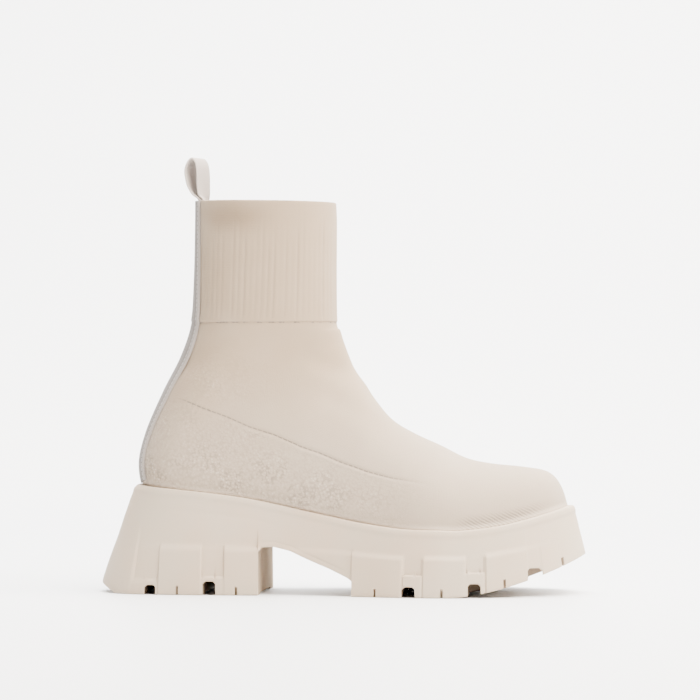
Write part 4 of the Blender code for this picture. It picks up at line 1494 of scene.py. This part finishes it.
def add_stage(look):
    """Paper floor that sweeps up behind the boot, soft light, and the photograph's camera.

    The floor's profile is a straight run, a quarter of a circle and an upright wall.
    """
    turn = np.linspace(0, np.pi / 2, 25)
    start, radius, front, top, half = 1.6, 0.9, -12.0, 4.0, 9.0
    run = np.linspace(0.4, start, 13)[:-1]
    y = np.concatenate([[front], run, start + radius * np.sin(turn), [start + radius]])
    z = np.concatenate([[0], 0 * run, radius * (1 - np.cos(turn)), [top]])
    x = np.array([-half, half])
    points = np.stack(np.broadcast_arrays(x[None, :], y[:, None], z[:, None]), axis=2).reshape(-1, 3)
    faces, _ = ring_quads(len(y), 2, closed=False)
    mesh = bpy.data.meshes.new("paper_sweep")
    mesh.from_pydata(points, [], faces[:, ::-1])
    mesh.shade_smooth()
    far = mesh.attributes.new("far", "FLOAT", "POINT")
    far.data.foreach_set("value", np.asarray(ease(0.6, 1.9, points[:, 1]), np.float32))
    mesh.materials.append(paper_material(look))
    floor = link(bpy.data.objects.new("paper_sweep", mesh))

    away = Vector((np.sin(look.azimuth), -np.cos(look.azimuth), 0.0))
    lens = bpy.data.cameras.new("camera")
    lens.sensor_width = 36
    lens.lens = lens.sensor_width * look.distance / look.field
    lens.clip_end = 20
    camera = link(bpy.data.objects.new("camera", lens))
    camera.location = Vector(look.aim) + away * look.distance
    camera.rotation_euler = (-away).to_track_quat("-Z", "Y").to_euler()
    bpy.context.scene.camera = camera

    add_light("softbox above", 1.8, look.key, look.warmth, (0.90, -0.45, 1.8), (0.12, 0.0, 0.0))
    add_light("side light", 1.4, look.fill, look.warmth, (1.4, -1.6, 0.9), (0.09, 0.0, 0.1))
    add_light("backdrop light", 2.4, look.backdrop, (1, 1, 1), (0.0, 0.9, 2.6), (0.0, 2.6, 0.3))
    world = bpy.data.worlds.new("studio")
    world.use_nodes = True
    background = world.node_tree.nodes["Background"]
    background.inputs["Color"].default_value = (1, 1, 1, 1)
    background.inputs["Strength"].default_value = look.ambient
    bpy.context.scene.world = world


class Builder:
    """What the operators share: each adds its pieces with the settings of one look."""

    def execute(self, context):
        for add in self.pieces:
            add(getattr(context.scene, self.look))
        return {"FINISHED"}


class SOCKBOOT_OT_upper(Builder, bpy.types.Operator):
    """Knits the upper"""

    bl_idname = "sockboot.upper"
    bl_label = "Upper"
    look = "boot_knit"
    pieces = [add_upper]


class SOCKBOOT_OT_sole(Builder, bpy.types.Operator):
    """Moulds the sole"""

    bl_idname = "sockboot.sole"
    bl_label = "Sole"
    look = "boot_sole"
    pieces = [add_sole]


class SOCKBOOT_OT_insole(Builder, bpy.types.Operator):
    """Lays the lined insole in the upper"""

    bl_idname = "sockboot.insole"
    bl_label = "Insole"
    look = "boot_knit"
    pieces = [add_insole]


class SOCKBOOT_OT_trim(Builder, bpy.types.Operator):
    """Sews on the back tape and the pull loop"""

    bl_idname = "sockboot.trim"
    bl_label = "Tape and loop"
    look = "boot_trim"
    pieces = [add_tape, add_loop]


class SOCKBOOT_OT_stage(Builder, bpy.types.Operator):
    """Sets up the paper, the lights and the camera"""

    bl_idname = "sockboot.stage"
    bl_label = "Stage"
    look = "boot_studio"
    pieces = [add_stage]


class SOCKBOOT_PT_pieces(bpy.types.Panel):
    """Lists the boot's pieces and their settings"""

    bl_label = "Sock boot"
    bl_idname = "SOCKBOOT_PT_pieces"
    bl_space_type = "VIEW_3D"
    bl_region_type = "UI"
    bl_category = "Sock boot"

    def draw(self, context):
        column = self.layout.column()
        for operator in OPERATORS:
            column.operator(operator.bl_idname)
        for name, look in LOOKS.items():
            column.label(text=look.__doc__)
            for key in look.__annotations__:
                column.prop(getattr(context.scene, name), key)


OPERATORS = [
    SOCKBOOT_OT_upper, SOCKBOOT_OT_sole, SOCKBOOT_OT_insole, SOCKBOOT_OT_trim, SOCKBOOT_OT_stage
]
LOOKS = {"boot_knit": KnitLook, "boot_sole": SoleLook, "boot_trim": TrimLook, "boot_studio": StudioLook}


def register():
    for name, look in LOOKS.items():
        bpy.utils.register_class(look)
        setattr(bpy.types.Scene, name, bpy.props.PointerProperty(type=look))
    for kind in [*OPERATORS, SOCKBOOT_PT_pieces]:
        bpy.utils.register_class(kind)


def unregister():
    for kind in reversed([*OPERATORS, SOCKBOOT_PT_pieces]):
        bpy.utils.unregister_class(kind)
    for name, look in LOOKS.items():
        delattr(bpy.types.Scene, name)
        bpy.utils.unregister_class(look)


def main():
    register()
    bpy.ops.sockboot.upper()
    bpy.ops.sockboot.sole()
    bpy.ops.sockboot.insole()
    bpy.ops.sockboot.trim()
    bpy.ops.sockboot.stage()


if __name__ == "__main__":
    main()
